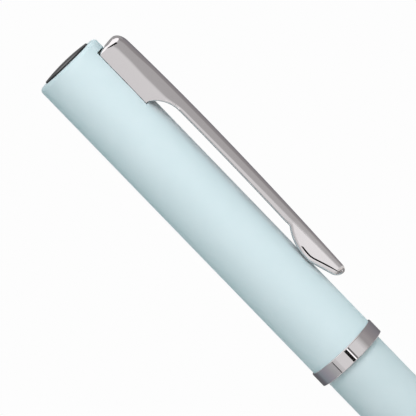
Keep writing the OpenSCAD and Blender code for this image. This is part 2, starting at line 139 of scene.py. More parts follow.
def new_material(name: str) -> tuple[Material, Tree]:
    """Makes a node material with an empty tree.

    Args:
        name: the material's name.

    Returns:
        The material and its tree.
    """
    material = bpy.data.materials.new(name)
    material.use_nodes = True
    material.node_tree.nodes.clear()
    return material, material.node_tree


# ---------------------------------------------------------------- finishes

class Hue(Enum):
    """The object's colours."""
    LACQUER_BLUE = "#DAE9F0"
    LACQUER_SHADE = "#D2E3EA"
    # painted shade: the barrel's two hues are a touch darker than the cap's, for the weaker light low on the
    # pen
    BARREL_BLUE_PAINTED_SHADE = "#D1DFE6"
    BARREL_DEEP_PAINTED_SHADE = "#C9DAE0"
    CHROME = "#CFCBCC"
    # darker chrome of the clip's rolled lip and keel underside: a rougher sheared edge, and painted shade
    CHROME_EDGE_AND_PAINTED_SHADE = "#B0AEAE"
    BLACK_RESIN = "#141416"
    BLACK_MOULDED = "#1B1B1E"
    BRASS = "#D9B878"
    STEEL = "#B9B8B8"
    NATURAL_PP = "#E6E6E0"
    NATURAL_PP_DEEP = "#D9D9D0"
    INK_FIBRE = "#E4EE4A"
    INK_FELT = "#E9F531"
    INK_FELT_DEEP = "#CFDF1C"
    RUBBER = "#1A1A1A"
    # near-black of the clip's seam and slits: painted shade
    SEAM_PAINTED_SHADE = "#0B0A0A"


@dataclass(frozen=True)
class Finish:
    """A real material with its surface. Each kind says what goes into the shader."""
    name: str
    hue: Hue
    hue_deep: Hue | None         # the hue wanders as far as this one, if it does

    def tone(self, tree: Tree, share: Socket) -> Socket:
        """A colour that follows a noise from the hue to the deeper one."""
        return add_node(tree, "Mix", {"Factor": share, 6: srgb(self.hue.value), 7: srgb(self.hue_deep.value)},
                        data_type="RGBA").outputs[2]

    def bump(self, tree: Tree, height: Socket, strength: float, depth_mm: float) -> Socket:
        """A normal that follows a relief."""
        return add_node(tree, "Bump", {"Height": height, "Strength": strength,
                                       "Distance": depth_mm * MM}).outputs["Normal"]

    def surface(self, tree: Tree) -> dict:
        """Lays out the finish's textures.

        Returns:
            The inputs of its shader.
        """
        raise NotImplementedError

    def build(self) -> Material:
        """Makes the material.

        Returns:
            The material, with one shader that has the finish's surface.
        """
        material, tree = new_material(self.name)
        shader = add_node(tree, "BsdfPrincipled", self.surface(tree))
        add_node(tree, "OutputMaterial", {"Surface": shader.outputs[0]})
        return material


@dataclass(frozen=True)
class MattLacquer(Finish):
    """Drawn aluminium sprayed with a pale matt lacquer and baked. The eye gets one even pale blue with
    a soft satin falloff, a trace of orange peel, and faint lines of the drawn tube under the paint."""
    peel_mm: float = 0.35        # orange peel; drawn a little coarse, so that it shows at all
    peel_depth: float = 0.012
    streak_mm: float = 0.22      # lines round the tube, left by drawing and buffing
    streak_along: Place = (0.02, 0.02, 1.0)
    streak_weight: float = 0.25
    cloud_mm: float = 9.0        # slow change of tone in the sprayed coat
    satin: Point = (0.45, 0.56)  # roughness, from and to
    gloss: float = 0.35
    ior: float = 1.47

    def surface(self, tree: Tree) -> dict:
        """Lays out the finish's textures.

        Returns:
            The inputs of its shader.
        """
        cloud = noise(tree, self.cloud_mm, 3.0, roughness=0.6)
        peel = noise(tree, self.peel_mm, 2.0)
        streak = noise(tree, self.streak_mm, 1.0, self.streak_along)
        relief = layered(tree, streak, self.streak_weight, peel)
        return {"Base Color": self.tone(tree, cloud), "Roughness": between(tree, peel, *self.satin),
                "IOR": self.ior, "Specular IOR Level": self.gloss,
                "Normal": self.bump(tree, relief, 0.35, self.peel_depth)}


@dataclass(frozen=True)
class PolishedChrome(Finish):
    """Bright chromium plate on buffed brass. The eye gets the room in it, slightly softened, with hair-fine
    buffing lines that only show where a light edge crosses them."""
    roughness: float = 0.07
    haze: float = 0.06           # the buffing lines are this much rougher
    buff_mm: float = 0.12        # buffing lines
    lines_along: Place = (1.0, 1.0, 0.03)
    wave_mm: float = 2.5         # slow unevenness of the pressed and polished sheet
    wave_weight: float = 3.0
    depth_mm: float = 0.0012

    def surface(self, tree: Tree) -> dict:
        """Lays out the finish's textures.

        Returns:
            The inputs of its shader.
        """
        buff = noise(tree, self.buff_mm, 3.0, self.lines_along, roughness=0.6)
        relief = layered(tree, noise(tree, self.wave_mm, 1.0), self.wave_weight, buff)
        return {"Base Color": srgb(self.hue.value), "Metallic": 1.0,
                "Roughness": between(tree, buff, self.roughness, self.roughness + self.haze),
                "Normal": self.bump(tree, relief, 0.5, self.depth_mm)}


@dataclass(frozen=True)
class Metal(Finish):
    """A bare metal, turned or drawn. The eye gets its tint, streaked along the tool's path; the clip's seam
    and edge paint shade with it.
    """
    roughness: float
    line_mm: float = 0.15        # tool marks
    lines_along: Place = (0.05, 0.05, 1.0)
    depth_mm: float = 0.004

    def surface(self, tree: Tree) -> dict:
        """Lays out the finish's textures.

        Returns:
            The inputs of its shader.
        """
        line = noise(tree, self.line_mm, 2.0, self.lines_along)
        return {"Base Color": srgb(self.hue.value), "Metallic": 1.0,
                "Roughness": between(tree, line, self.roughness - 0.06, self.roughness + 0.1),
                "Normal": self.bump(tree, line, 0.5, self.depth_mm)}


@dataclass(frozen=True)
class Moulded(Finish):
    """An injection-moulded plastic. The eye gets an even body colour, the gloss or haze of the mould's
    polish, and a slight sink in the surface."""
    roughness: float
    haze: float = 0.06
    grain_mm: float = 0.3        # texture of the mould's wall, drawn coarse enough to show
    flow_mm: float = 6.0         # slow change of tone where the plastic flowed
    depth_mm: float = 0.003
    ior: float = 1.5
    see_through: float = 0.0

    def surface(self, tree: Tree) -> dict:
        """Lays out the finish's textures.

        Returns:
            The inputs of its shader.
        """
        grain = noise(tree, self.grain_mm, 3.0)
        return {"Base Color": self.tone(tree, noise(tree, self.flow_mm, 2.0)),
                "Roughness": between(tree, grain, self.roughness, self.roughness + self.haze),
                "IOR": self.ior, "Transmission Weight": self.see_through,
                "Normal": self.bump(tree, grain, 0.4, self.depth_mm)}


@dataclass(frozen=True)
class InkedFibre(Finish):
    """Bonded polyester fibre soaked in fluorescent ink. The eye gets a strong yellow with fine strands
    along the nib, and a soft edge of fuzz."""
    strand_mm: float = 0.12      # strand spacing, drawn about three times too coarse so that it shows
    strands_along: Place = (1.0, 1.0, 0.06)
    depth_mm: float = 0.05

    def surface(self, tree: Tree) -> dict:
        """Lays out the finish's textures.

        Returns:
            The inputs of its shader.
        """
        strand = noise(tree, self.strand_mm, 4.0, self.strands_along, roughness=0.7)
        return {"Base Color": self.tone(tree, strand), "Roughness": 0.85, "IOR": 1.45, "Sheen Weight": 0.4,
                "Sheen Roughness": 0.5, "Normal": self.bump(tree, strand, 0.8, self.depth_mm)}


def made(kind: type[Finish], name: str, hue: Hue, hue_deep: Hue | None = None, *rest: float,
         **more: float | Place) -> Field:
    """Declares a dataclass field that holds one finish's material.

    Args:
        kind: the finish's class.
        name: the material's name.
        hue: its colour.
        hue_deep: the colour that it wanders to, if it does.
        rest: the class's next fields.
        more: and its other fields, by name.

    Returns:
        The field; the material is made with the object that holds it.
    """
    return field(default_factory=kind(name, hue, hue_deep, *rest, **more).build)


@dataclass
class Finishes:
    """Every finish of the object, made once. The barrel's lacquer is a touch darker than the cap's: painted
    shade.
    """
    lacquer: Material = made(MattLacquer, "sprayed matt lacquer on drawn aluminium", Hue.LACQUER_BLUE,
                             Hue.LACQUER_SHADE)
    # painted shade: the barrel's lacquer is darker than the cap's, standing in for the weaker light there
    barrel_lacquer_painted_shade: Material = made(MattLacquer, "sprayed matt lacquer, the barrel's coat", Hue.BARREL_BLUE_PAINTED_SHADE,
                                    Hue.BARREL_DEEP_PAINTED_SHADE)
    chrome: Material = made(PolishedChrome, "buffed chromium plate", Hue.CHROME)
    ring_chrome: Material = made(PolishedChrome, "turned chromium plate", Hue.CHROME, roughness=0.02,
                                 haze=0.02, wave_mm=6.0, lines_along=(0.03, 0.03, 1.0), depth_mm=0.0004)
    resin: Material = made(Moulded, "cast black resin, polished", Hue.BLACK_RESIN, Hue.BLACK_MOULDED, 0.05,
                           depth_mm=0.0005)
    grip: Material = made(Moulded, "moulded black ABS", Hue.BLACK_MOULDED, Hue.BLACK_RESIN, 0.16)
    brass: Material = made(Metal, "turned brass", Hue.BRASS, None, 0.22)
    steel: Material = made(Metal, "drawn spring steel", Hue.STEEL, None, 0.28, lines_along=(0.3, 0.3, 0.3))
    liner: Material = made(Moulded, "moulded natural polypropylene", Hue.NATURAL_PP, Hue.NATURAL_PP_DEEP,
                           0.38, ior=1.49)
    sleeve: Material = made(Moulded, "extruded clear polypropylene", Hue.NATURAL_PP, Hue.NATURAL_PP_DEEP,
                            0.3, ior=1.49, see_through=0.35)
    fibre: Material = made(InkedFibre, "ink-soaked polyester fibre", Hue.INK_FIBRE, Hue.INK_FELT_DEEP)
    felt: Material = made(InkedFibre, "pressed felt, inked", Hue.INK_FELT, Hue.INK_FELT_DEEP, 0.16)
    rubber: Material = made(Moulded, "moulded nitrile rubber", Hue.RUBBER, Hue.BLACK_MOULDED, 0.5)
    # painted shade: near-black in the clip's seam and slits, where shade falls
    seam: Material = made(Metal, "unpolished seam between folded sheets", Hue.SEAM_PAINTED_SHADE, None, 0.7)
    # partly real, a rougher sheared edge; its darker colour is painted shade on the clip's rolled lip and
    # keel underside
    edge: Material = made(Metal, "chromium plate over a sheared edge", Hue.CHROME_EDGE_AND_PAINTED_SHADE, None, 0.3,
                          line_mm=0.08, depth_mm=0.002)


# ---------------------------------------------------------------- mesh helpers

class Extent:
    """Where a CAD node lies, in millimetres: its corners, its ends along the pen and half its width
    across Y, which is the radius of a turned piece."""

    def __init__(self, node: str) -> None:
        """Measures one node."""
        self.low, self.high = (Vector(corner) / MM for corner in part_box(node))
        self.bottom, self.top = self.low.z, self.high.z
        self.radius = (self.high.y - self.low.y) / 2


def smooth_step(t: float) -> float:
    """A soft ramp from 0 to 1."""
    t = min(1.0, max(0.0, t))
    return t * t * (3 - 2 * t)


def arc(cx: float, cy: float, radius: float, start: float, end: float, steps: int) -> list[Point]:
    """Points of an arc.

    Args:
        cx: centre, first coordinate.
        cy: centre, second coordinate.
        radius: its radius.
        start: first angle in degrees.
        end: last angle in degrees.
        steps: number of chords.

    Returns:
        steps + 1 points.
    """
    angles = [math.radians(start + (end - start) * i / steps) for i in range(steps + 1)]
    return [(cx + radius * math.cos(a), cy + radius * math.sin(a)) for a in angles]


def fillet(start: Vector, corner: Vector, end: Vector, steps: int) -> list[Point]:
    """Rounds a corner by a quadratic curve, within a hundredth of a small fillet's arc.

    Args:
        start: where the curve leaves one side.
        corner: the corner.
        end: where it meets the other side.
        steps: number of chords.

    Returns:
        steps + 1 points.
    """
    shares = [k / steps for k in range(steps + 1)]
    return [tuple(start * (1 - t) ** 2 + corner * 2 * t * (1 - t) + end * t ** 2) for t in shares]


def rounded(corners: Sequence[Place], steps: int = 5) -> list[Point]:
    """Rounds the corners of a closed outline.

    Args:
        corners: (x, y, fillet radius) for each corner.
        steps: chords on each fillet.

    Returns:
        The outline's points.
    """
    points: list[Point] = []
    for i, (x, y, radius) in enumerate(corners):
        if radius <= 0:
            points.append((x, y))
            continue
        here = Vector((x, y))
        before = Vector(corners[i - 1][:2]) - here
        after = Vector(corners[(i + 1) % len(corners)][:2]) - here
        reach = radius / math.tan(before.angle(after) / 2)
        reach = min(reach, before.length * 0.49, after.length * 0.49)
        points += fillet(here + before.normalized() * reach, here, here + after.normalized() * reach, steps)
    return points


def held(outline: Sequence[Point], close: float = 0.03) -> list[Point]:
    """Adds points near both ends of each long straight stretch, so that smooth shading keeps it straight.

    Args:
        outline: a closed outline.
        close: distance of the new points from the stretch's ends.

    Returns:
        The outline with the new points.
    """
    points: list[Point] = []
    for here, after in zip(outline, [*outline[1:], outline[0]]):
        points.append(here)
        start, end = Vector(here), Vector(after)
        on_axis = here[0] < 1e-6 and after[0] < 1e-6
        if (end - start).length > 5 * close and not on_axis:
            step = (end - start).normalized() * close
            points += [tuple(start + step), tuple(end - step)]
    return points


def ring(bm: Mesh, radius: float, z: float, angles: Sequence[float]) -> Row:
    """Adds vertices round the pen's axis, at a radius and a height."""
    return [bm.verts.new((radius * math.cos(a), radius * math.sin(a), z)) for a in angles]


def spread(columns: int) -> list[float]:
    """Angles of evenly spaced columns, in radians."""
    return [2 * math.pi * i / columns for i in range(columns)]


def skin(bm: Mesh, rows: Sequence[Row], wrap: bool = False) -> None:
    """Lays quads between rows of vertices.

    Args:
        bm: the mesh.
        rows: rows of equally many vertices; a row of one vertex is a pole.
        wrap: whether the last row joins the first.
    """
    pairs = list(zip(rows, rows[1:])) + ([(rows[-1], rows[0])] if wrap else [])
    for low, high in pairs:
        count = max(len(low), len(high))
        for i in range(count):
            j = (i + 1) % count
            loop = [low[i % len(low)], low[j % len(low)], high[j % len(high)], high[i % len(high)]]
            corners = list(dict.fromkeys(loop))
            if len(corners) > 2:
                bm.faces.new(corners)


def turned(bm: Mesh, outline: Sequence[Point], columns: int = ROUND) -> None:
    """Turns a closed outline of (radius, height) round the pen's axis.

    Args:
        bm: the mesh to add to.
        outline: the outline; points on the axis become poles.
        columns: columns round the piece.
    """
    rows = [ring(bm, r, z, spread(columns) if r > 1e-6 else [0.0]) for r, z in outline]
    skin(bm, rows, wrap=len(rows[0]) > 1 or len(rows[-1]) > 1)


def new_object(name: str, bm: Mesh, *materials: Material) -> Piece:
    """Turns a bmesh to an object in the scene.

    Args:
        name: the object's name.
        bm: the mesh, freed here.
        materials: its material slots.

    Returns:
        The object.
    """
    mesh = bpy.data.meshes.new(name)
    bm.to_mesh(mesh)
    bm.free()
    for material in materials:
        mesh.materials.append(material)
    item = bpy.data.objects.new(name, mesh)
    bpy.context.scene.collection.objects.link(item)
    return item


def carved(body: Mesh, cutter: Mesh, materials: Sequence[Material]) -> Mesh:
    """Cuts one closed mesh out of another.

    Args:
        body: the mesh to cut, freed here.
        cutter: the mesh to take away, freed here; its material indices pass to the cut.
        materials: the material slots of both.

    Returns:
        The cut mesh.
    """
    for bm in (body, cutter):
        bmesh.ops.recalc_face_normals(bm, faces=bm.faces)
    pair = new_object("body", body, *materials), new_object("cutter", cutter, *materials)
    cut = pair[0].modifiers.new("cut", "BOOLEAN")
    cut.operation, cut.solver, cut.material_mode, cut.object = "DIFFERENCE", "EXACT", "INDEX", pair[1]
    result = bmesh.new()
    done = pair[0].evaluated_get(bpy.context.evaluated_depsgraph_get())
    result.from_mesh(done.to_mesh())
    done.to_mesh_clear()
    for item in pair:
        bpy.data.meshes.remove(item.data)
    return result


def make_piece(name: str, bm: Mesh, *materials: Material) -> Piece:
    """Turns a bmesh in millimetres to a smooth-shaded object in metres with creased sharp edges.

    Args:
        name: the piece's name.
        bm: the mesh, freed here.
        materials: the piece's material slots.

    Returns:
        The object, linked to the scene.
    """
    bmesh.ops.recalc_face_normals(bm, faces=bm.faces)
    bm.transform(Matrix.Scale(MM, 4))
    for face in bm.faces:
        face.smooth = True
    for edge in bm.edges:
        if len(edge.link_faces) == 2 and edge.calc_face_angle(0.0) > SHARP:
            edge.smooth = False
    return new_object(name, bm, *materials)


def turned_piece(name: str, corners: Sequence[Place], material: Material, steps: int = 5) -> Piece:
    """Makes a turned piece.

    Args:
        name: the piece's name.
        corners: its closed outline, as (radius, height, fillet).
        material: its finish.
        steps: chords on each fillet.

    Returns:
        The piece.
    """
    bm = bmesh.new()
    turned(bm, held(rounded(corners, steps)))
    return make_piece(name, bm, material)


def seat(piece: Piece, body: str, slot: str, *nodes: str) -> Piece:
    """Ties a piece to its body and hides the CAD nodes that it stands for.

    Args:
        piece: the piece.
        body: the body that it rides on.
        slot: the record's material slot; not used.
        nodes: the CAD nodes that it replaces.

    Returns:
        The piece.
    """
    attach(piece, body)
    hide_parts(*nodes)
    log.info("%s rides on %s, in place of %s", piece.name, body, ", ".join(nodes))
    return piece


def refinish(material: Material, *nodes: str) -> None:
    """Gives CAD nodes that stay as they are a finish.

    Args:
        material: the finish.
        nodes: the CAD nodes.
    """
    for name in nodes:
        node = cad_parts[name]
        node.data.materials.clear()
        node.data.materials.append(material)
        log.info("%s keeps its CAD mesh, in %s", name, material.name)


# ---------------------------------------------------------------- the pen's sub-assemblies

@dataclass
class Barrel:
    """The lacquered barrel tube, with its turned-in tail and the disc let into it. Millimetres."""
    finishes: Finishes
    wall: float = 0.5
    tail_wall: float = 0.8
    tail_edge: float = 0.5
    disc_gap: float = 0.03
    disc_dish: float = 0.1
    stem: float = 1.4
    neck_gap: float = 0.1        # the neck starts this far below the lip ring
    burr: float = 0.08           # radii of the tube's cut edges, of the neck's corners and inside
    neck_edge: float = 0.03
    neck_root: float = 0.02
    mouth_edge: float = 0.05
    floor_edge: float = 0.2
    dish_at: Point = (0.8, 0.6)  # the disc's dish has this share of its depth at this share of its radius
    dish_round: float = 3.0
    disc_edge: float = 0.12
    stem_edge: float = 0.1

    def build(self) -> list[Piece]:
        """Builds the tube and the tail disc.

        Returns:
            The pieces.
        """
        tube, disc = Extent("barrel_tube"), Extent("tail_disc")
        neck = Extent("section_ring").radius
        neck_z = Extent("lip_ring").bottom - self.neck_gap
        bore, inner = disc.radius + self.disc_gap, tube.radius - self.wall
        # the tube takes the darker lacquer, which is painted shade
        shell = turned_piece("barrel_tube_dressed", [
            (bore, 0, self.burr), (tube.radius, 0, self.tail_edge), (tube.radius, neck_z, self.neck_edge),
            (neck, neck_z, self.neck_root), (neck, tube.top, self.burr), (inner, tube.top, self.mouth_edge),
            (inner, self.tail_wall, self.floor_edge), (bore, self.tail_wall, 0)],
            self.finishes.barrel_lacquer_painted_shade)
        seat(shell, "barrel", "shell", "barrel_tube")
        low, (share, depth) = disc.bottom, self.dish_at
        plate = turned_piece("tail_disc_dressed", [
            (0, low + self.disc_dish, 0),
            (disc.radius * share, low + self.disc_dish * depth, self.dish_round),
            (disc.radius, low, self.disc_edge), (disc.radius, self.tail_wall, 0),
            (self.stem, self.tail_wall, 0), (self.stem, disc.top, self.stem_edge), (0, disc.top, 0)],
            self.finishes.resin)
        seat(plate, "barrel", "gloss_black", "tail_disc")
        return [shell, plate]


@dataclass
class LipRing:
    """The polished ring at the cap's mouth, and its spigot in the cap tube. Millimetres."""
    finishes: Finishes
    height: float = 2.5
    edge: float = 0.2
    mouth_edge: float = 0.08
    wall: float = 0.5            # of the cap tube round the spigot
    press_gap: float = 0.03
    cap_gap: float = 0.12
    mouth_depth: float = 1.32
    mouth_in: float = 0.02       # the mouth is this much narrower than the gap would have it
    cut_edge: float = 0.1        # radii of the turned edges, and of the step inside
    step_edge: float = 0.05

    def build(self) -> Piece:
        """Builds the ring.

        Returns:
            The piece.
        """
        lip = Extent("lip_ring")
        low, rim = lip.bottom, lip.bottom + self.height
        mouth = Extent("barrel_tube").radius + self.cap_gap - self.mouth_in
        spigot = Extent("cap_tube").radius - self.wall - self.press_gap
        bore = Extent("section_grip").radius + self.cap_gap
        step = low + self.mouth_depth
        piece = turned_piece("lip_ring_dressed", [
            (mouth, low, self.cut_edge), (lip.radius, low, self.mouth_edge), (lip.radius, rim, self.edge),
            (spigot, rim, 0), (spigot, lip.top, self.cut_edge), (bore, lip.top, self.cut_edge),
            (bore, step, self.step_edge), (mouth, step, 0)], self.finishes.ring_chrome, steps=8)
        return seat(piece, "cap", "polished_metal", "lip_ring")


@dataclass
class CapTube:
    """The lacquered cap tube, with the slot that the clip's head passes through. Millimetres."""
    finishes: Finishes
    wall: float = 0.5
    top_wall: float = 0.8
    edge: float = 0.65
    rim_edge: float = 0.12
    rim_drop: float = 0.1        # the turned-in rim is this much lower than the plain tube
    jewel_gap: float = 0.03
    slot_gap: float = 0.15
    slot_short: float = 0.05     # the slot ends this far under the clip's top, where the head is set back
    head_len: float = 10.6
    slot_columns: int = 16
    edge_hold: float = 0.05      # a row this far under the upper edge keeps the wall straight to there

    def outline(self) -> tuple[list[Point], list[Point]]:
        """Works out the wall's outline.

        Returns:
            The outside, from the mouth up over the rim to the jewel's seat, and the inside from the mouth up
            to the same seat; both are lists of (radius, height).
        """
        tube, jewel = Extent("cap_tube"), Extent("cap_jewel")
        seat_r = jewel.radius + self.jewel_gap
        r, top, low = tube.radius, tube.top - self.rim_drop, tube.bottom
        over = arc(r - self.edge, top - self.edge, self.edge, 0, 90, 10)
        rim = arc(seat_r + self.rim_edge, top - self.rim_edge, self.rim_edge, 90, 180, 4)
        outside = [(r, low)] + [(r, z) for z in self.slot_rows()]
        outside += [(r, top - self.edge - self.edge_hold)] + over + rim
        roof = top - self.top_wall
        inside = [(r - self.wall, low)] + [(r - self.wall, z) for z in self.slot_rows()]
        inside += [(r - self.wall, roof), (seat_r, roof)]
        return outside, inside

    def slot_rows(self) -> list[float]:
        """Heights of the slot's lower and upper ends."""
        head = Extent("clip").top
        return [head - self.head_len - self.slot_gap, head - self.slot_short]

    def angles(self, radius: float) -> list[float]:
        """Works out the columns' angles at a radius, so that two of them lie on the slot's sides.

        Args:
            radius: the wall's radius.

        Returns:
            The angles, the slot's own columns first.
        """
        half = math.asin((Extent("clip").high.y + self.slot_gap) / radius)
        across = [-half + 2 * half * i / self.slot_columns for i in range(self.slot_columns)]
        rest = ROUND - self.slot_columns
        return across + [half + (2 * math.pi - 2 * half) * i / rest for i in range(rest)]

    def build(self) -> Piece:
        """Builds the tube round its slot.

        Returns:
            The piece.
        """
        bm = bmesh.new()
        outer, inner = ([ring(bm, r, z, self.angles(r)) for r, z in side] for side in self.outline())
        slot = range(self.slot_columns)
        for rows in (outer, inner):
            for k in range(len(rows) - 1):
                for i in range(ROUND):
                    if k == 1 and i in slot:
                        continue
                    j = (i + 1) % ROUND
                    bm.faces.new((rows[k][i], rows[k][j], rows[k + 1][j], rows[k + 1][i]))
        for i in range(ROUND):
            j = (i + 1) % ROUND
            bm.faces.new((outer[0][i], outer[0][j], inner[0][j], inner[0][i]))
            bm.faces.new((outer[-1][i], outer[-1][j], inner[-1][j], inner[-1][i]))
        for i in slot:
            for k in (1, 2):
                bm.faces.new((outer[k][i], outer[k][i + 1], inner[k][i + 1], inner[k][i]))
        for i in (0, self.slot_columns):
            bm.faces.new((outer[1][i], outer[2][i], inner[2][i], inner[1][i]))
        piece = make_piece("cap_tube_dressed", bm, self.finishes.lacquer)
        return seat(piece, "cap", "shell", "cap_tube")


@dataclass
class Jewel:
    """The domed black jewel in the cap's top. Millimetres."""
    finishes: Finishes
    stem: float = 1.4
    top_wall: float = 0.8
    rise: float = 0.28
    edge: float = 0.1            # radius of its upper edge

    def build(self) -> Piece:
        """Builds the jewel as a shallow dome with a straight edge, on its stem.

        Returns:
            The piece.
        """
        jewel, rim = Extent("cap_jewel"), Extent("cap_tube").top
        shoulder = jewel.top - self.rise
        round_r = jewel.radius - self.edge
        dome = (round_r ** 2 + self.rise ** 2) / (2 * self.rise)
        lean = math.degrees(math.asin(round_r / dome))
        outline = [(0, jewel.bottom), (self.stem, jewel.bottom), (self.stem, rim - self.top_wall),
                   (jewel.radius, rim - self.top_wall)]
        outline += arc(round_r, shoulder - self.edge, self.edge, 0, 90, 6)
        outline += arc(0, jewel.top - dome, dome, 90 - lean, 90, 14)[1:-1] + [(0, jewel.top)]
        bm = bmesh.new()
        turned(bm, outline)
        piece = make_piece("cap_jewel_dressed", bm, self.finishes.resin)
        return seat(piece, "cap", "gloss_black", "cap_jewel")


@dataclass
class Clip:
    """The formed channel clip: a boxed head, an arm folded from sheet with a ridge along its back, a belly
    closed by a rounded keel, and ears for the hinge pin. Millimetres."""
    finishes: Finishes
    sheet: float = 0.5
    lip: float = 0.38            # the arm's lower edges are rolled in over this height
    lip_in: float = 0.3          # and this far across
    head_len: float = 10.6
    arm_depth: float = 1.77
    crown_drop: float = 20.0     # from the head's top down to the crown of the back
    head_bow: float = 430.0      # radii of the back's curve above and below the crown
    arm_bow: float = 775.0
    arm_half: float = 1.6        # half widths below the head, above the belly and at the nose
    belly_half: float = 1.2
    nose_half: float = 0.73
    arm_taper: float = 1.6       # exponent of the arm's taper
    shoulder_drop: float = 0.95  # the head's width goes on to this far below the heel,
    shoulder_len: float = 3.8    # and narrows to the arm's over this length
    heel_sweep: float = 4.0
    heel_stretch: float = 0.35   # the sweep is this much longer along the pen than out from it
    wall_in: float = 1.2         # the head's sides reach this far under the tube's face
    arm_sag: float = 0.12        # the arm's underside comes down by this towards the belly
    belly_bow: float = 8.6       # radius of the belly's underside on the arm's side
    belly_back: float = 5.5
    belly_rise: float = 0.34     # slope of the underside on the nose's side, and how softly it sets in
    belly_soft: float = 0.3
    hollow: float = 0.05         # softness of the hollow where the belly runs into the arm
    belly_gap: float = 0.14
    keel_depth: float = 0.82     # at the belly's lowest point, midway to the nose, and at the nose
    keel_mid: float = 0.93
    keel_nose: float = 0.96
    keel_square: float = 4.0     # exponent of the keel's section: higher is flatter at the sides
    nose_round: float = 1.0
    tip_drop: float = 0.72       # the nose closes this far under the ridge
    ridge: float = 1.15          # radius along the ridge, and how much larger it grows on the head
    head_ridge: float = 0.35
    ridge_from: float = 2.5      # it grows from this far above the heel, over this length
    ridge_run: float = 4.5
    ridge_share: float = 0.75    # and is never more than this share of the half width
    head_lean: float = 41.5      # the slopes' normals are this far from straight sideways, in degrees
    arm_lean: float = 45.0
    head_fold: float = 0.9       # radii between side and slope: on the head, the arm and the belly
    arm_fold: float = 0.25
    belly_fold: float = 0.4
    fold_run: float = 4.0        # the fold grows to the head's over this length,
    belly_lead: float = 9.0      # and to the belly's from this far above it, over this length
    belly_run: float = 10.0
    bend_steps: int = 6          # chords on the ridge's arc and on the fold's
    corner_z: float = 2.0        # the head's upper corner, along the pen and out from it
    corner_x: float = 1.3
    end_round: float = 1.15      # rounding between the head's sides and its end face, near the ridge
    end_round_low: float = 0.4   # and at the tube's face
    end_round_run: float = 2.7   # the one turns to the other over this distance
    foot_in: float = 0.22        # the end face is set back by this under foot_x, where it enters the slot,
    foot_x: float = 6.6
    foot_run: float = 0.4        # softly over this distance,
    foot_deep: float = 0.25      # and by this more under deep_x, which it needs when the clip opens
    deep_x: float = 5.6
    end_over: float = 0.08       # the end face stands this far over its CAD face
    end_lean: float = 0.02       # slope of that end face, and how far it drops towards its sides
    end_bow: float = 0.2
    lean_run: float = 3.0        # the end's slope and its set-backs fade over these lengths of the head
    end_run: float = 2.0
    pivot_in: float = 1.5        # the pin lies this far under the tube's face
    ear: float = 1.3
    pin_hole: float = 0.65
    ear_seat: float = 0.75       # the ears join the sides this far outside the pin's centre
    groove: float = 0.26         # seam between the side and the keel
    groove_depth: float = 0.25
    groove_shut: float = 0.15    # share of the seam's width that its points keep where it is shut
    seam_from: float = 1.95      # it opens from this far above the belly's lowest point, over this length,
    seam_run: float = 0.4
    seam_past: float = 0.3       # and shuts over seam_fade, towards a place this far past the nose
    seam_fade: float = 3.0
    close_from: float = 1.4      # the channel closes from this far above the belly, over this length
    close_run: float = 2.0
    lower_points: int = 16
    # slit at each corner of the head's end, where the folded sheet doesn't quite meet: its stations, as
    # (distance from the axis, distance under the head's top, half width), and its depth
    slit: tuple[Place, ...] = ((8.39, 1.0, 0.15), (7.5, 0.74, 0.11), (6.9, 0.58, 0.03))
    slit_depth: float = 0.3

    def __post_init__(self) -> None:
        """Takes the clip's place from the frame."""
        clip, tube = Extent("clip"), Extent("cap_tube")
        self.top, self.nose = clip.top, clip.bottom
        self.head_half = clip.high.y
        self.crown = clip.high.x
        self.crown_z = self.top - self.crown_drop
        self.tube_r = tube.radius
        self.heel_z = self.top - self.head_len
        self.arm_z = self.heel_z - self.heel_sweep
        self.belly_z = self.nose + self.belly_back
        self.bow_x = self.tube_r + self.belly_gap + self.belly_bow
        self.pivot_x = self.tube_r - self.pivot_in
        self.pivot_z = self.top - self.head_len / 2
        reach = self.bow_x - self.back(self.belly_z + self.belly_back) + self.arm_depth
        self.belly_top = self.belly_z + math.sqrt(self.belly_bow ** 2 - reach ** 2)
        self.tip_z = self.nose + self.nose_round
        self.tip_x = self.back(self.tip_z) - self.tip_drop

    def back(self, z: float) -> float:
        """Where the ridge lies at a height, before the ends are rounded."""
        bow = self.head_bow if z > self.crown_z else self.arm_bow
        return self.crown - (z - self.crown_z) ** 2 / (2 * bow)

    def ridge_x(self, z: float) -> float:
        """Where the ridge lies at a height, with the head's corner rounded.

        Args:
            z: the height.

        Returns:
            Its distance from the axis.
        """
        past = (z - (self.top - self.corner_z)) / self.corner_z
        drop = self.corner_x * (1 - math.sqrt(max(0.0, 1 - past * past))) if past > 0 else 0.0
        return self.back(z) - drop

    def half_width(self, z: float) -> float:
        """Works out half the clip's width at a height, before the nose is rounded.

        Args:
            z: the height.

        Returns:
            Half the width.
        """
        shoulder = self.heel_z - self.shoulder_drop
        arm_top = shoulder - self.shoulder_len
        if z >= shoulder:
            return self.head_half
        if z >= arm_top:
            t = smooth_step((shoulder - z) / self.shoulder_len)
            return self.head_half + (self.arm_half - self.head_half) * t
        if z >= self.belly_top:
            t = (arm_top - z) / (arm_top - self.belly_top)
            return self.arm_half - (self.arm_half - self.belly_half) * t ** self.arm_taper
        t = (self.belly_top - z) / (self.belly_top - self.tip_z)
        return self.belly_half - (self.belly_half - self.nose_half) * t

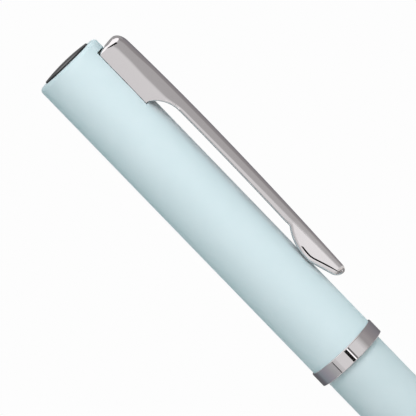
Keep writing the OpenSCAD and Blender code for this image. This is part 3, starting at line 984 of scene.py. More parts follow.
    def underside(self, z: float) -> float:
        """Works out where the clip's underside lies: the head's foot, the heel's sweep, the arm or the belly.

        Args:
            z: the height.

        Returns:
            Its distance from the axis.
        """
        if z > self.heel_z:
            near_pin = abs(z - self.pivot_z) < self.ear
            return self.pivot_x + self.ear_seat if near_pin else self.tube_r - self.wall_in
        along = max(0.0, (self.arm_z - z) / (self.arm_z - self.belly_z))
        arm = self.back(z) - self.arm_depth - self.arm_sag * along ** 4
        if z > self.arm_z:
            share = (z - self.arm_z) / (self.heel_sweep + self.heel_stretch)
            return arm - self.heel_sweep * (1 - math.sqrt(1 - share ** 2))
        if z < self.belly_z:
            return self.tube_r + self.belly_gap - self.belly_soft + math.hypot(
                self.belly_soft, self.belly_rise * (self.belly_z - z))
        bow = self.bow_x - math.sqrt(max(0.0, self.belly_bow ** 2 - (z - self.belly_z) ** 2))
        # the belly runs into the arm through a soft hollow
        gap = bow - arm
        return (bow + arm - math.sqrt(gap * gap + self.hollow * self.hollow)) / 2 if gap < 1 else arm

    def fold(self, z: float) -> float:
        """Radius of the fold between side and slope at a height.

        Args:
            z: the height.

        Returns:
            The radius.
        """
        if z > self.arm_z:
            return self.arm_fold + (self.head_fold - self.arm_fold) * smooth_step(
                (z - self.arm_z) / self.fold_run)
        t = (self.belly_top + self.belly_lead - z) / self.belly_run
        return self.arm_fold + (self.belly_fold - self.arm_fold) * smooth_step(t)

    def lean(self, z: float) -> float:
        """How far the slope's normal is from straight sideways at a height, in radians."""
        share = smooth_step((z - self.arm_z) / (self.heel_z - self.arm_z))
        return math.radians(self.arm_lean + (self.head_lean - self.arm_lean) * share)

    def ridge_round(self, z: float) -> float:
        """Radius along the ridge at a height."""
        return self.ridge + self.head_ridge * smooth_step(
            (z - self.heel_z - self.ridge_from) / self.ridge_run)

    def end_inset(self, x: float, z: float) -> float:
        """How far the rounded end of the head lies inside its sides.

        Args:
            x: distance from the axis.
            z: the height.

        Returns:
            The distance.
        """
        share = min(1.0, max(0.0, (x - self.tube_r) / self.end_round_run))
        radius = self.end_round_low + (self.end_round - self.end_round_low) * share
        past = max(0.0, z - (self.top - radius))
        return radius - math.sqrt(max(0.0, radius ** 2 - past ** 2))

    def upper(self, ridge_x: float, half: float, fold: float, lean: float, ridge: float) -> list[Point]:
        """The back of a section: the ridge, one slope and the fold into the side.

        Args:
            ridge_x: the ridge's distance from the axis.
            half: the half width.
            fold: the fold's radius.
            lean: the angle between the slope's normal and the side's, in radians.
            ridge: the radius along the ridge.

        Returns:
            Points of (x, y), from the ridge to the top of the side.
        """
        ridge, steps = min(ridge, half * self.ridge_share), self.bend_steps
        corner_x = ridge_x - ridge + (ridge - half * math.cos(lean)) / math.sin(lean)
        sweep = math.pi / 2 - lean
        across = (half - ridge * math.sin(sweep)) / math.sin(lean)
        reach = min(fold * math.tan(lean / 2), across * 0.95)
        turns = [sweep * k / steps for k in range(steps + 1)]
        ridge_arc = [(ridge_x - ridge + ridge * math.cos(a), ridge * math.sin(a)) for a in turns]
        slope = Vector((corner_x + reach * math.cos(lean), half - reach * math.sin(lean)))
        return ridge_arc + fillet(slope, Vector((corner_x, half)), Vector((corner_x - reach, half)), steps)

    def channel(self, ridge_x: float, half: float, low: float) -> list[Point]:
        """The open underside of a section: the rounded lip, the inner side and the inner back.

        Args:
            ridge_x: the ridge's distance from the axis.
            half: the half width.
            low: the underside's distance from the axis.

        Returns:
            As many points of (x, y) as the closed underside has.
        """
        inner = half - self.sheet
        in_r = self.sheet - self.lip_in
        lip = [(low + self.lip * (1 - math.sin(math.radians(a))),
                half - self.lip_in * (1 - math.cos(math.radians(a)))) for a in (0, 18, 36, 54, 72, 90)]
        lip += [(low + in_r, inner)]
        offset = min(self.ridge, half * self.ridge_share) * (math.sqrt(2) - 1) - 0.06
        knee = max(low + self.lip, ridge_x + offset - self.sheet * math.sqrt(2) - inner)
        roof = ridge_x - self.sheet
        side = [(low + self.lip + (knee - low - self.lip) * t, inner) for t in (0.33, 0.67, 1.0)]
        slope_end = max(0.02, inner - max(0.0, roof - knee))
        slope = [(knee + (roof - knee) * t, inner + (slope_end - inner) * t) for t in (0.25, 0.5, 0.75, 1.0)]
        return lip + side + slope + [(roof, slope_end / 2), (roof, 0.0)]

    def keel(self, crease: float, low: float, half: float) -> list[Point]:
        """The closed, rounded underside of the belly.

        Args:
            crease: the seam's distance from the axis.
            low: the underside's distance from the axis.
            half: the half width.

        Returns:
            Points of (x, y), from the seam to the middle of the underside.
        """
        # as many points to the corner as the rolled lip has, so that the two blend
        turn = (0, 10, 22, 36, 52, 68, 80)
        rest = self.lower_points - len(turn)
        angles = [math.radians(a) for a in turn]
        angles += [math.radians(80 + 10 * (i + 1) / rest) for i in range(rest)]
        power = 2 / self.keel_square
        return [(crease - (crease - low) * math.sin(a) ** power, half * max(0.0, math.cos(a)) ** power)
                for a in angles]

    def keel_height(self, z: float) -> float:
        """How far the seam lies over the belly's underside at a height.

        Args:
            z: the height.

        Returns:
            The distance.
        """
        middle = (self.belly_z + self.tip_z) / 2
        if z > middle:
            t = smooth_step((self.belly_z - z) / (self.belly_z - middle))
            return self.keel_depth + (self.keel_mid - self.keel_depth) * t
        t = smooth_step((middle - z) / (middle - self.tip_z))
        return self.keel_mid + (self.keel_nose - self.keel_mid) * t

    def section(self, z: float) -> tuple[list[Point], float]:
        """One half of the clip's section at a height.

        Args:
            z: the height.

        Returns:
            The points of (x, y) from the ridge round to the middle of the underside, and how open the seam
            is there, from 0 to 1.
        """
        ridge_x, half, low = self.ridge_x(z), self.half_width(z), self.underside(z)
        back = self.upper(ridge_x, half, self.fold(z), self.lean(z), self.ridge_round(z))
        seam = 0.0
        if z > self.heel_z:
            closed = 1.0 if z > self.top - self.sheet else 0.0
            bottom = [(low, half * (1 - i / (self.lower_points - 1))) for i in range(self.lower_points)]
            crease = low + self.lip * (1 - closed)
        else:
            closed = smooth_step((self.belly_top + self.close_from - z) / self.close_run)
            keel_top = min(low + self.keel_height(z), back[-1][0] - 0.02)
            bottom = self.keel(keel_top, low, half)
            crease = keel_top * closed + (low + self.lip) * (1 - closed)
            seam = smooth_step((self.belly_z + self.seam_from - z) / self.seam_run)
            seam *= smooth_step((z - self.nose + self.seam_past) / self.seam_fade)
        lower = [(a[0] * (1 - closed) + b[0] * closed, a[1] * (1 - closed) + b[1] * closed)
                 for a, b in zip(self.channel(ridge_x, half, low), bottom)]
        start = back[-1][0]
        open_share = self.groove_shut + (1 - self.groove_shut) * seam
        groove = min(self.groove * open_share, max(0.0, start - crease) * 0.5)
        side = [(start + (crease + groove - start) * t, half) for t in (0.33, 0.67, 1.0)]
        side.append((crease + groove * 0.5, half - self.groove_depth * seam))
        points = back + side + lower
        if z > self.top - self.end_round:
            points = [(x, y * (1 - self.end_inset(x, z) / half)) for x, y in points]
        if z < self.tip_z:
            share = math.sqrt(max(0.0, 1 - ((self.tip_z - z) / self.nose_round) ** 2))
            points = [(self.tip_x + (x - self.tip_x) * share, y * share) for x, y in points]
        return points, seam

    def stations(self) -> list[float]:
        """Spaces the sections, close together where the shape turns.

        Returns:
            Their heights, from the top.
        """
        stretches = [(self.top, self.top - self.end_round, 0.1),
                     (self.top - self.end_round, self.top - 2.2, 0.12),
                     (self.top - 2.2, self.heel_z + 0.2, 0.4), (self.heel_z + 0.2, self.arm_z - 1, 0.1),
                     (self.arm_z - 1, self.belly_top + 1.6, 0.5),
                     (self.belly_top + 1.6, self.belly_z + 2, 0.12),
                     (self.belly_z + 2, self.tip_z, 0.15)]
        heights = []
        for high, low, step in stretches:
            count = max(1, round((high - low) / step))
            heights += [high + (low - high) * i / count for i in range(count)]
        cuts = [self.top - self.sheet, self.heel_z, self.pivot_z - self.ear, self.pivot_z + self.ear]
        heights += [c + d for c in cuts for d in (-0.01, 0.01)]
        heights += [self.nose + self.nose_round * (1 - math.sin(math.radians(a))) for a in range(0, 88, 8)]
        heights += [self.top - self.end_round * (1 - math.sin(math.radians(a))) for a in range(0, 90, 6)]
        return sorted(set(heights), reverse=True)

    def ears(self, bm: Mesh) -> None:
        """Adds the two ears, each a plate with a hole for the pin.

        Args:
            bm: the clip's mesh.
        """
        count = 48
        for side in (-1, 1):
            rings = []
            for across, radius in ((0, 0), (0, 1), (1, 1), (1, 0)):
                y = side * (self.head_half - across * self.sheet)
                loop = []
                for i in range(count):
                    a = 2 * math.pi * i / count
                    c, s = math.cos(a), math.sin(a)
                    square = min(self.ear_seat / max(c, 1e-6), self.ear / max(abs(s), 1e-6))
                    reach = (square if c > 1e-6 else self.ear) if radius else self.pin_hole
                    loop.append(bm.verts.new((self.pivot_x + reach * c, y, self.pivot_z + reach * s)))
                rings.append(loop)
            skin(bm, rings, wrap=True)

    def slits(self) -> Mesh:
        """Builds the two wedges that cut the slits in the corners of the head's end.

        Returns:
            The wedges, in the seam's near-black material, which paints the slits as painted shade.
        """
        bm = bmesh.new()
        lean = math.radians(self.head_lean)
        low, high = (Vector((x, -drop)) for x, drop, _ in (self.slit[-1], self.slit[0]))
        along = (high - low).normalized()
        for side in (-1, 1):
            rows = []
            for x, drop, half in self.slit:
                z = self.top - drop
                ridge = self.ridge_round(z)
                corner = self.ridge_x(z) - ridge + (ridge - self.head_half * math.cos(lean)) / math.sin(lean)
                y = self.head_half - max(0.0, x - corner) * math.tan(lean)
                row = []
                for across, out in ((-1, -self.slit_depth), (1, -self.slit_depth), (1, 0.5), (-1, 0.5)):
                    row.append(bm.verts.new((x - along.y * half * across + math.sin(lean) * out,
                                             side * (y + math.cos(lean) * out), z + along.x * half * across)))
                rows.append(row)
            skin(bm, rows)
            bm.faces.new(rows[0])
            bm.faces.new(rows[-1])
        bmesh.ops.recalc_face_normals(bm, faces=bm.faces)
        # the slits' faces take the near-black seam material: painted shade
        for face in bm.faces:
            face.material_index = 1
        return bm

    def shell(self, bm: Mesh, heights: Sequence[float]) -> tuple[int, list[float]]:
        """Lays the clip's skin through its sections, and closes it at the head's end and at the nose.

        Args:
            bm: the mesh to add to.
            heights: heights of the sections, from the top.

        Returns:
            The number of faces between two sections, and how open the seam is at each section.
        """
        rows, seams = [], []
        for z in heights:
            half, seam = self.section(z)
            lean = self.end_lean * smooth_step((z - self.top + self.lean_run) / self.lean_run)
            near_end = smooth_step((z - self.top + self.end_run) / self.end_run)
            row = []
            for x, y in half + [(x, -y) for x, y in reversed(half[1:-1])]:
                over = self.end_over - self.end_bow * (y / self.head_half) ** 2 + self.foot_in
                over = over * smooth_step((x - self.foot_x + self.foot_run) / self.foot_run) - self.foot_in
                over -= self.foot_deep * smooth_step(self.deep_x - x)
                row.append(bm.verts.new((x, y, z - lean * (self.crown - x) + near_end * over)))
            rows.append(row)
            seams.append(seam)
        rows.append([bm.verts.new((self.tip_x, 0, self.nose))])
        skin(bm, rows)
        # the end is bowed, so it is closed by a ladder of quads from side to side and not by one face
        end, half_way = rows[0], len(rows[0]) // 2
        bm.faces.new((end[0], end[1], end[-1]))
        for i in range(1, half_way - 1):
            bm.faces.new((end[i], end[i + 1], end[-i - 1], end[-i]))
        bm.faces.new(end[half_way - 1:half_way + 2])
        return len(rows[0]), seams

    def tint(self, bm: Mesh, heights: Sequence[float], count: int, seams: Sequence[float]) -> None:
        """Paints the open seam near-black and the sheet's rolled and inner faces a darker chrome, both as
        painted shade.

        Args:
            bm: the clip's skin, its faces in rows.
            heights: heights of the sections, from the top.
            count: number of faces in a row.
            seams: how open the seam is at each section.
        """
        bm.faces.ensure_lookup_table()
        side = 2 * (self.bend_steps + 1)
        groove = {side + 2, side + 3, count - side - 3, count - side - 4}
        rolled, under = ({side + 4 + i for i in run} for run in (range(2, 6), range(3, 15)))
        rolled |= {count - 1 - i for i in rolled}
        under |= {count - 1 - i for i in under}
        for k, seam in enumerate(seams[:-1]):
            # the open seam's faces are painted near-black: painted shade in the groove
            for i in groove:
                if min(seam, seams[k + 1]) > 0.1:
                    bm.faces[k * count + i].material_index = 1
            # the rolled lip and the keel's underside take the darker edge chrome: painted shade where they
            # face the tube
            if heights[k] <= self.heel_z:
                for i in rolled if heights[k + 1] > self.belly_top + 0.4 else under:
                    bm.faces[k * count + i].material_index = 2

    def build(self) -> Piece:
        """Builds the clip.

        Returns:
            The piece.
        """
        bm, heights = bmesh.new(), self.stations()
        self.tint(bm, heights, *self.shell(bm, heights))
        # the seam finish paints the groove and slits near-black, the edge finish the rolled lip and keel
        # underside darker: both painted shade
        finishes = (self.finishes.chrome, self.finishes.seam, self.finishes.edge)
        bm = carved(bm, self.slits(), finishes)
        self.ears(bm)
        piece = make_piece("clip_dressed", bm, *finishes)
        return seat(piece, "clip", "polished_metal", "clip")


@dataclass
class Section:
    """The writing end that the cap hides: grip, trim ring, thread sleeve, snap ring and seal. Millimetres."""
    finishes: Finishes
    pitch: float = 0.75
    thread_depth: float = 0.2
    sleeve_wall: float = 0.8
    neck_step: float = 0.27
    press_gap: float = 0.03
    snap_split: float = 1.2
    snap_wall: float = 0.4
    seal_cord: float = 0.7
    seat_gap: float = 0.02       # play of the rings in their grooves,
    seal_room: float = 0.08      # of the seal's groove upwards,
    groove_in: float = 0.05      # and of the snap ring's groove inwards
    burr: float = 0.04           # radii of the grooves' edges, of the grip's lower edge and of the trim's
    low_edge: float = 0.06
    trim_edge: float = 0.12
    waist_from: float = 7.5      # the grip narrows from here over its lower end to here,
    waist_to: float = 17.0
    waist_over: float = 0.25     # where it is this much wider than its nose
    nose: float = 3.95           # the nose is straight from this far under the seal, then a cone
    nose_len: float = 4.0
    cone_len: float = 4.6
    cone_tip: Point = (0.38, 0.15)  # the cone ends this far over the bore and under the tip
    tip_face: float = 0.12
    bore: float = 2.23
    bore_len: float = 10.0
    neck_len: float = 5.02       # the sleeve's neck reaches this far into the grip
    thread_clear: Point = (0.6, 1.2)  # plain lengths under and over the thread
    thread_fade: float = 0.4
    sleeve_chamfer: float = 0.25
    shoulder_gap: float = 0.1

    def __post_init__(self) -> None:
        """Takes the thread sleeve's radii from the frame."""
        sleeve = Extent("section_sleeve").radius
        self.sleeve_bore = sleeve - self.sleeve_wall
        self.neck = sleeve - self.neck_step

    def grip(self) -> Piece:
        """Builds the moulded grip: straight under the cap's ring, waisted where the fingers hold it.

        Returns:
            The piece.
        """
        grip, snap, seal = Extent("section_grip"), Extent("snap_ring"), Extent("seal_ring")
        low, top, r = grip.bottom, grip.top, grip.radius
        neck, nose, bore = self.neck + self.press_gap, self.nose, self.bore
        groove = snap.radius - self.snap_wall - self.groove_in
        snap_low, snap_high = snap.bottom - self.seat_gap, snap.top + self.seat_gap
        seal_low, seal_high = seal.bottom - self.seat_gap, seal.top + self.seal_room
        seat_r = seal.radius - self.seal_cord + self.seat_gap
        tip_over, tip_drop = self.cone_tip
        piece = turned_piece("section_grip_dressed", [
            (neck, low, 0), (r, low, self.low_edge), (r, snap_low, self.burr), (groove, snap_low, 0),
            (groove, snap_high, 0), (r, snap_high, self.burr), (r, low + self.waist_from, 6),
            (nose + self.waist_over, low + self.waist_to, 12), (nose, seal.bottom - self.nose_len, 8),
            (nose, seal_low, self.burr), (seat_r, seal_low, 0), (seat_r, seal_high, 0),
            (nose, seal_high, self.burr), (nose, top - self.cone_len, 1.2),
            (bore + tip_over, top - tip_drop, 0.3), (bore + self.tip_face, top, 0.1), (bore, top, 0.05),
            (bore, top - self.bore_len, 0), (self.sleeve_bore, top - self.bore_len, 0),
            (self.sleeve_bore, low + self.neck_len, 0), (neck, low + self.neck_len, 0)],
            self.finishes.grip, steps=8)
        return seat(piece, "section", "gloss_black", "section_grip")

    def trim(self) -> Piece:
        """Builds the polished trim ring between the barrel and the grip.

        Returns:
            The piece.
        """
        trim = Extent("section_ring")
        bore = Extent("section_sleeve").radius + self.press_gap
        piece = turned_piece("section_ring_dressed", [
            (bore, trim.bottom, 0), (trim.radius, trim.bottom, self.trim_edge),
            (trim.radius, trim.top, self.trim_edge), (bore, trim.top, 0)], self.finishes.ring_chrome)
        return seat(piece, "section", "polished_metal", "section_ring")

    def sleeve(self) -> Piece:
        """Builds the brass sleeve with its helical thread.

        Returns:
            The piece.
        """
        sleeve = Extent("section_sleeve")
        shoulder = Extent("section_grip").bottom - self.shoulder_gap
        low, high = sleeve.bottom + self.thread_clear[0], shoulder - self.thread_clear[1]
        columns, per_turn = 96, 12
        count = round((high - low) / self.pitch * per_turn)

        def radius(angle: float, z: float) -> float:
            """The thread's rounded ridge and root."""
            wave = 0.5 + 0.5 * math.cos(2 * math.pi * z / self.pitch - angle)
            fade = min(1.0, (z - low) / self.thread_fade, (high - z) / self.thread_fade)
            return sleeve.radius - self.thread_depth * (1 - wave ** 0.7) * max(0.0, fade)

        bm = bmesh.new()
        heights = [low + (high - low) * i / count for i in range(count + 1)]
        outline: list[tuple[float, float | None]] = [
            (sleeve.bottom, sleeve.radius - self.sleeve_chamfer),
            (sleeve.bottom + self.sleeve_chamfer, sleeve.radius)]
        outline += [(z, None) for z in heights]
        outline += [(shoulder, sleeve.radius), (shoulder, self.neck), (sleeve.top, self.neck),
                    (sleeve.top, self.sleeve_bore), (sleeve.bottom, self.sleeve_bore)]
        rows = []
        for z, fixed in outline:
            reaches = [(fixed or radius(a, z), a) for a in spread(columns)]
            rows.append([bm.verts.new((r * math.cos(a), r * math.sin(a), z)) for r, a in reaches])
        skin(bm, rows, wrap=True)
        piece = make_piece("section_sleeve_dressed", bm, self.finishes.brass)
        return seat(piece, "section", "brass", "section_sleeve")

    def snap(self) -> Piece:
        """Builds the split snap ring.

        Returns:
            The piece.
        """
        snap = Extent("snap_ring")
        inner = snap.radius - self.snap_wall + self.seat_gap
        outline = rounded([(inner, snap.bottom, 0.08), (snap.radius, snap.bottom, 0.18),
                           (snap.radius, snap.top, 0.18), (inner, snap.top, 0.08)])
        half = math.asin(self.snap_split / 2 / snap.radius)
        bm = bmesh.new()
        columns = 120
        start, sweep = -math.pi / 2 + half, 2 * math.pi - 2 * half
        rows = []
        for i in range(columns + 1):
            a = start + sweep * i / columns
            rows.append([bm.verts.new((r * math.cos(a), r * math.sin(a), z)) for r, z in outline])
        skin(bm, rows)
        bm.faces.new(rows[0])
        bm.faces.new(rows[-1])
        piece = make_piece("snap_ring_dressed", bm, self.finishes.steel)
        return seat(piece, "snap_ring", "spring_steel", "snap_ring")

    def seal(self) -> Piece:
        """Builds the rubber seal ring.

        Returns:
            The piece.
        """
        seal = Extent("seal_ring")
        cord = self.seal_cord / 2
        bm = bmesh.new()
        turned(bm, arc(seal.radius - cord, (seal.bottom + seal.top) / 2, cord, 0, 360, 24)[:-1])
        piece = make_piece("seal_ring_dressed", bm, self.finishes.rubber)
        return seat(piece, "section", "seal_rubber", "seal_ring")

    def build(self) -> list[Piece]:
        """Builds every piece of the section, and returns them."""
        return [self.grip(), self.trim(), self.sleeve(), self.snap(), self.seal()]


@dataclass
class WritingTip:
    """The refill's nose and its felt chisel nib. Millimetres."""
    finishes: Finishes
    nose_len: float = 10.6
    nib_gap: float = 0.03
    wall: float = 0.35
    nib_out: float = 5.1         # the nib stands this far out of its holder
    slant: float = 35.0          # the chisel's cut, in degrees, and where it starts across the nib
    slant_at: float = 0.55
    side_lean: float = 14.0      # the side bevels, in degrees, and where they start across and along it
    side_at: Point = (0.62, 0.25)
    soft: float = 0.12           # radius of its worn edges

    def holder(self) -> Piece:
        """Builds the nib's moulded holder.

        Returns:
            The piece.
        """
        holder, nib = Extent("nib_holder"), Extent("felt_nib")
        shoulder = holder.top - self.nose_len
        bore = nib.radius + self.nib_gap
        out = bore + self.wall - self.nib_gap
        piece = turned_piece("nib_holder_dressed", [
            (bore, holder.bottom, 0), (holder.radius, holder.bottom, 0.1), (holder.radius, shoulder, 0.1),
            (out, shoulder, 0.1), (out, holder.top, 0.3), (bore, holder.top, 0.08)], self.finishes.liner)
        return seat(piece, "refill", "liner_plastic", "nib_holder")

    def nib(self) -> Piece:
        """Builds the nib: a felt rod cut slantwise and bevelled on both sides to a chisel.

        Returns:
            The piece.
        """
        nib = Extent("felt_nib")
        r, (across, along) = nib.radius, self.side_at
        bm = bmesh.new()
        turned(bm, [(0, nib.bottom), (r, nib.bottom), (r, nib.top), (0, nib.top)], columns=64)
        bmesh.ops.recalc_face_normals(bm, faces=bm.faces)
        slant, lean = math.radians(self.slant), math.radians(self.side_lean)
        cuts = [(Vector((r * self.slant_at, 0, nib.top)), Vector((math.sin(slant), 0, math.cos(slant))))]
        cuts += [(Vector((0, side * r * across, nib.top - self.nib_out * along)),
                  Vector((0, side * math.cos(lean), math.sin(lean)))) for side in (-1, 1)]
        for place, normal in cuts:
            cut = bmesh.ops.bisect_plane(bm, geom=bm.verts[:] + bm.edges[:] + bm.faces[:], plane_co=place,
                                         plane_no=normal, clear_outer=True)
            rim = [e for e in cut["geom_cut"] if isinstance(e, bmesh.types.BMEdge)]
            bmesh.ops.contextual_create(bm, geom=rim)
        piece = make_piece("felt_nib_dressed", bm, self.finishes.felt)
        bevel = piece.modifiers.new("worn edges", "BEVEL")
        bevel.width = self.soft * MM
        bevel.segments = 3
        bevel.limit_method = "ANGLE"
        bevel.angle_limit = SHARP
        return seat(piece, "refill", "ink_felt", "felt_nib")

    def build(self) -> list[Piece]:
        """Builds the holder and the nib, and returns them."""
        return [self.holder(), self.nib()]


# ---------------------------------------------------------------- studio

def seen_directly(tree: Tree) -> Socket:
    """Tells the rays that show something from those that only light it.

    Args:
        tree: the node tree.

    Returns:
        1 for a camera ray, a mirrored one or a refracted one, else 0.
    """
    path = add_node(tree, "LightPath").outputs
    seen = add_node(tree, "Math", {0: path["Is Camera Ray"], 1: path["Is Glossy Ray"]}, operation="MAXIMUM")
    return add_node(tree, "Math", {0: seen.outputs[0], 1: path["Is Transmission Ray"]},
                    operation="MAXIMUM").outputs[0]


@dataclass
class Studio:
    """A white sweep, soft lamps and the cards whose reflections shade the polished metal. Metres, and
    degrees round the pen's axis; angles are counted from the camera's side, towards the clip."""
    view_deg: float = 17.5
    camera_distance: float = 0.900
    camera_height: float = 0.172
    aim_height: float = 0.1054
    aim_side: float = 0.00017
    roll_deg: float = 44.07
    lens_mm: float = 518.0
    floor_half: float = 6.0
    floor_fade: Point = (0.12, 0.42)  # the floor turns from paper to plain white between these distances
    paper: str = "#FCF0ED"
    white: str = "#FDFDFD"
    ambient: float = 0.365
    ambient_hue: str = "#E3FFFF"
    high: float = 0.42           # heights at which lamps hang, their distance and their side
    middle: float = 0.25
    lamp_distance: float = 0.4
    lamp_size: float = 0.3
    lamp_aim: float = 0.105      # height that they point at
    card_radius: float = 0.42
    strip_radius: float = 0.41
    # tones of the big cards by angle: at the sides and behind, and then those that only the ring and only
    # the clip reflect
    dark_tones: Tones = (
        (95, "#A8A4A6"), (125, "#9A989D"), (150, "#848287"), (185, "#707070"), (215, "#6C6D72"),
        (228, "#77787F"), (235, "#81868C"), (242, "#929BA2"), (261, "#A5A7B0"), (278, "#B3B2B9"),
        (292, "#BEC1C2"), (303, "#C8C9CA"), (308, "#C1C2C3"), (309, "#DADADA"), (316, "#E6E6E6"),
        (324, "#EFEFEF"))
    ring_tones: Tones = (
        (44, "#F8F8F8"), (51, "#E9E9E9"), (58, "#D2D2D1"), (64, "#B8B6B6"), (78, "#BAB7B7"))
    clip_tones: Tones = (
        (-15, "#FFFFFF"), (10, "#F6F6F6"), (28, "#E4E4E4"), (40, "#D2D2D2"), (46, "#CBCACA"),
        (60, "#C9C8C8"), (67, "#B0AEAE"), (75, "#AAA8A8"))
    # heights between which only the ring reflects the cards; the belly's sides reflect those below, the
    # arm and the head those above
    ring_band: Point = (0.0262, 0.0364)

    def around(self, degrees: float, radius: float, height: float) -> Vector:
        """Finds a place round the pen.

        Args:
            degrees: its angle from the camera's side.
            radius: its distance from the axis.
            height: its height.

        Returns:
            The place.
        """
        a = math.radians(self.view_deg + degrees)
        return Vector((radius * math.sin(a), -radius * math.cos(a), height))

    def world(self) -> None:
        """Lights the object evenly, and shows white to the camera, to metal and to glass."""
        world = bpy.data.worlds.new("white sweep")
        bpy.context.scene.world = world
        world.use_nodes = True
        tree = world.node_tree
        tree.nodes.clear()
        plain = add_node(tree, "Background", {"Color": srgb(self.ambient_hue), "Strength": self.ambient})
        white = add_node(tree, "Background", {"Color": srgb(self.white), "Strength": 1.0})
        mix = add_node(tree, "MixShader", {0: seen_directly(tree), 1: plain.outputs[0], 2: white.outputs[0]})
        add_node(tree, "OutputWorld", {"Surface": mix.outputs[0]})

    def floor(self) -> None:
        """Lays the pale floor: it takes the object's shadow, and turns to the sweep's white further off."""
        material, tree = new_material("matt white paper sweep")
        place = add_node(tree, "NewGeometry").outputs["Position"]
        flat = add_node(tree, "VectorMath", {0: place, 1: (1.0, 1.0, 0.0)}, operation="MULTIPLY")
        away = add_node(tree, "VectorMath", {0: flat.outputs[0]}, operation="LENGTH")
        far = add_node(tree, "MapRange", {"Value": away.outputs["Value"], "From Min": self.floor_fade[0],
                                          "From Max": self.floor_fade[1]}, interpolation_type="SMOOTHSTEP")
        share = add_node(tree, "Math", {0: seen_directly(tree), 1: far.outputs["Result"]},
                         operation="MULTIPLY")
        paper = add_node(tree, "BsdfPrincipled", {"Base Color": srgb(self.paper), "Roughness": 0.9})
        white = add_node(tree, "Emission", {"Color": srgb(self.white), "Strength": 1.0})
        mix = add_node(tree, "MixShader", {0: share.outputs[0], 1: paper.outputs[0], 2: white.outputs[0]})
        add_node(tree, "OutputMaterial", {"Surface": mix.outputs[0]})
        bm = bmesh.new()
        corners = ((-1, -1), (1, -1), (1, 1), (-1, 1))
        bm.faces.new([bm.verts.new((x * self.floor_half, y * self.floor_half, 0)) for x, y in corners])
        sheet = new_object("floor", bm, material)

    def card(self, name: str, tones: Tones, low: float, high: float, strength: float = 1.0,
             radii: Point | None = None) -> None:
        """Stands a curved glowing card round the pen that only reflections see.

        Args:
            name: the card's name.
            tones: (angle, sRGB hex colour) along the card.
            low: height of its lower edge.
            high: height of its upper edge.
            strength: factor on the colours.
            radii: distances of the lower and upper edges from the axis, or the cards' own.
        """
        low_r, high_r = radii or (self.card_radius, self.card_radius)
        start, span = tones[0][0], tones[-1][0] - tones[0][0]
        material, tree = new_material(name)
        along = add_node(tree, "UVMap", uv_map="along")
        split = add_node(tree, "SeparateXYZ", {0: along.outputs[0]})
        ramp = add_node(tree, "ValToRGB", {0: split.outputs[0]})
        band = ramp.color_ramp
        for _ in tones[2:]:
            band.elements.new(0.5)
        for stop, (angle, code) in zip(band.elements, tones):
            stop.position, stop.color = (angle - start) / span, srgb(code)
        glow = add_node(tree, "Emission", {"Color": ramp.outputs[0], "Strength": strength})
        add_node(tree, "OutputMaterial", {"Surface": glow.outputs[0]})
        bm = bmesh.new()
        layer = bm.loops.layers.uv.new("along")
        count = max(1, round(span / 4))
        posts = []
        for i in range(count + 1):
            angle = start + span * i / count
            ends = [bm.verts.new(self.around(angle, *end)) for end in ((low_r, low), (high_r, high))]
            posts.append((*ends, i / count))
        for (a, b, s), (c, d, t) in zip(posts, posts[1:]):
            face = bm.faces.new((a, c, d, b))
            for loop, share in zip(face.loops, (s, t, t, s)):
                loop[layer].uv = (share, 0)
        card = new_object(name, bm, material)
        for rays in ("camera", "diffuse", "shadow", "transmission", "volume_scatter"):
            setattr(card, "visible_" + rays, False)

    def cards(self) -> None:
        """Stands the grey cards at the sides and behind, the narrow strips near the camera, and the
        softboxes above and below."""
        low, high = self.ring_band
        self.card("ring cards", self.ring_tones + self.dark_tones, low, high)
        self.card("belly cards", self.clip_tones + self.dark_tones, 0.0, low)
        self.card("clip cards", self.clip_tones + self.dark_tones[:1], high, 0.42)
        self.card("back cards", self.dark_tones, high, 1.0)
        inner = (self.strip_radius,) * 2
        plain = (
            ("black strip", -3.3, 6.4, "#1C1C1C", low, high, 1.0, inner),
            ("bright strip", 6.75, 10.05, "#FFFFFF", low, high, 1.8, inner),
            ("thin strip", 10.2, 15.4, "#808080", low, high, 1.0, inner),
            ("side strip", -51.8, -49.2, "#202020", low, high, 1.0, inner),
            ("side softbox", -75, -10, "#FFFFFF", 0.0, low, 1.25, inner),
            ("overhead softbox", -95, 125, "#FFFFFF", 0.43, 0.75, 1.6, (0.40, 0.02)),
            ("end card", 100, 260, "#B8B8B8", 0.24, 0.80, 1.0, (0.40, 0.08)),
            ("nose card", 30, 62, "#FFFFFF", 0.006, 0.006, 2.0, (0.06, 0.085)),
            ("grey table card", -180, 180, "#A8A8A8", 0.004, 0.004, 1.0, (0.03, 0.12)))
        for name, start, end, hue, *rest in plain:
            self.card(name, ((start, hue), (end, hue)), *rest)

    def lamp(self, name: str, place: Vector, power: float, hue: str) -> None:
        """Hangs one square lamp that shines at the clip and that reflections don't see.

        Args:
            name: the lamp's name.
            place: where it hangs.
            power: its power in watts.
            hue: its sRGB hex colour.
        """
        data = bpy.data.lights.new(name, "AREA")
        data.shape = "SQUARE"
        data.size = self.lamp_size
        data.energy = power
        data.color = srgb(hue)[:3]
        lamp = bpy.data.objects.new(name, data)
        lamp.location = place
        lamp.rotation_euler = (Vector((0, 0, self.lamp_aim)) - place).to_track_quat("-Z", "Y").to_euler()
        lamp.visible_glossy = False
        bpy.context.scene.collection.objects.link(lamp)

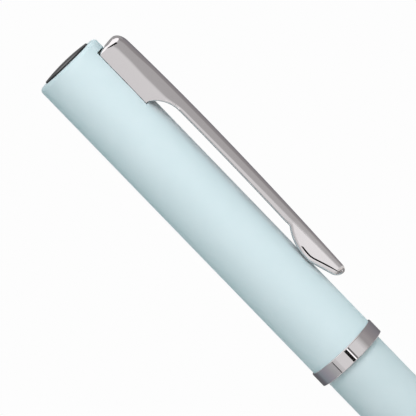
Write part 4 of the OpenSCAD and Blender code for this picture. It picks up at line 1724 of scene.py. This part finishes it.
    def lamps(self) -> None:
        """Hangs a broad key lamp on the camera's side, a weak cool fill on each side of it, and a nearly
        neutral one behind."""
        for name, degrees, height, power, hue in (
                ("key", 15.0, self.high, 1.53, "#FFEBE8"), ("clip fill", 55.0, self.middle, 0.3, "#C0FFFF"),
                ("back fill", 166.0, self.high, 0.75, "#FFF6F2"),
                ("shade fill", -50.0, self.middle, 0.14, "#A8FFFF")):
            self.lamp(name, self.around(degrees, self.lamp_distance, height), power, hue)

    def camera(self) -> None:
        """Sets up the camera: a long lens, a little above the clip's belly, rolled so that the pen
        lies from the upper left to the lower right."""
        roll, a = math.radians(self.roll_deg), math.radians(self.view_deg)
        right = Vector((math.cos(a), math.sin(a), 0))
        place = self.around(0, self.camera_distance, self.camera_height) + right * self.aim_side
        look = (Vector((0, 0, self.aim_height)) + right * self.aim_side - place).normalized()
        level = right.cross(look).normalized()
        up = level * math.cos(roll) + right * math.sin(roll)
        side = right * math.cos(roll) - level * math.sin(roll)
        lens = bpy.data.cameras.new("camera")
        lens.sensor_width = 36
        lens.lens = self.lens_mm
        lens.clip_start, lens.clip_end = 0.01, 50
        camera = bpy.data.objects.new("camera", lens)
        basis = Matrix((side, up, -look)).transposed().to_4x4()
        camera.matrix_world = Matrix.Translation(place) @ basis
        bpy.context.scene.collection.objects.link(camera)
        bpy.context.scene.camera = camera

    def build(self) -> None:
        """Builds the whole studio."""
        scene = bpy.context.scene
        scene.view_settings.view_transform = "Standard"
        self.world()
        self.floor()
        self.cards()
        self.lamps()
        self.camera()


def main() -> None:
    """Builds the studio, then each sub-assembly in order."""
    logging.basicConfig(level=logging.INFO, format="%(name)s: %(message)s")
    Studio().build()
    finishes = Finishes()
    Barrel(finishes).build()
    LipRing(finishes).build()
    CapTube(finishes).build()
    Jewel(finishes).build()
    Clip(finishes).build()
    Section(finishes).build()
    WritingTip(finishes).build()
    refinish(finishes.brass, "barrel_thread_bush")
    refinish(finishes.liner, "tail_plug", "refill_end_plug", "inner_cap", "cap_plug")
    refinish(finishes.sleeve, "refill_tube")
    refinish(finishes.fibre, "fibre_core")
    refinish(finishes.steel, "barrel_spring", "clip_bracket", "clip_pin", "clip_spring")


if __name__ == "__main__":
    main()
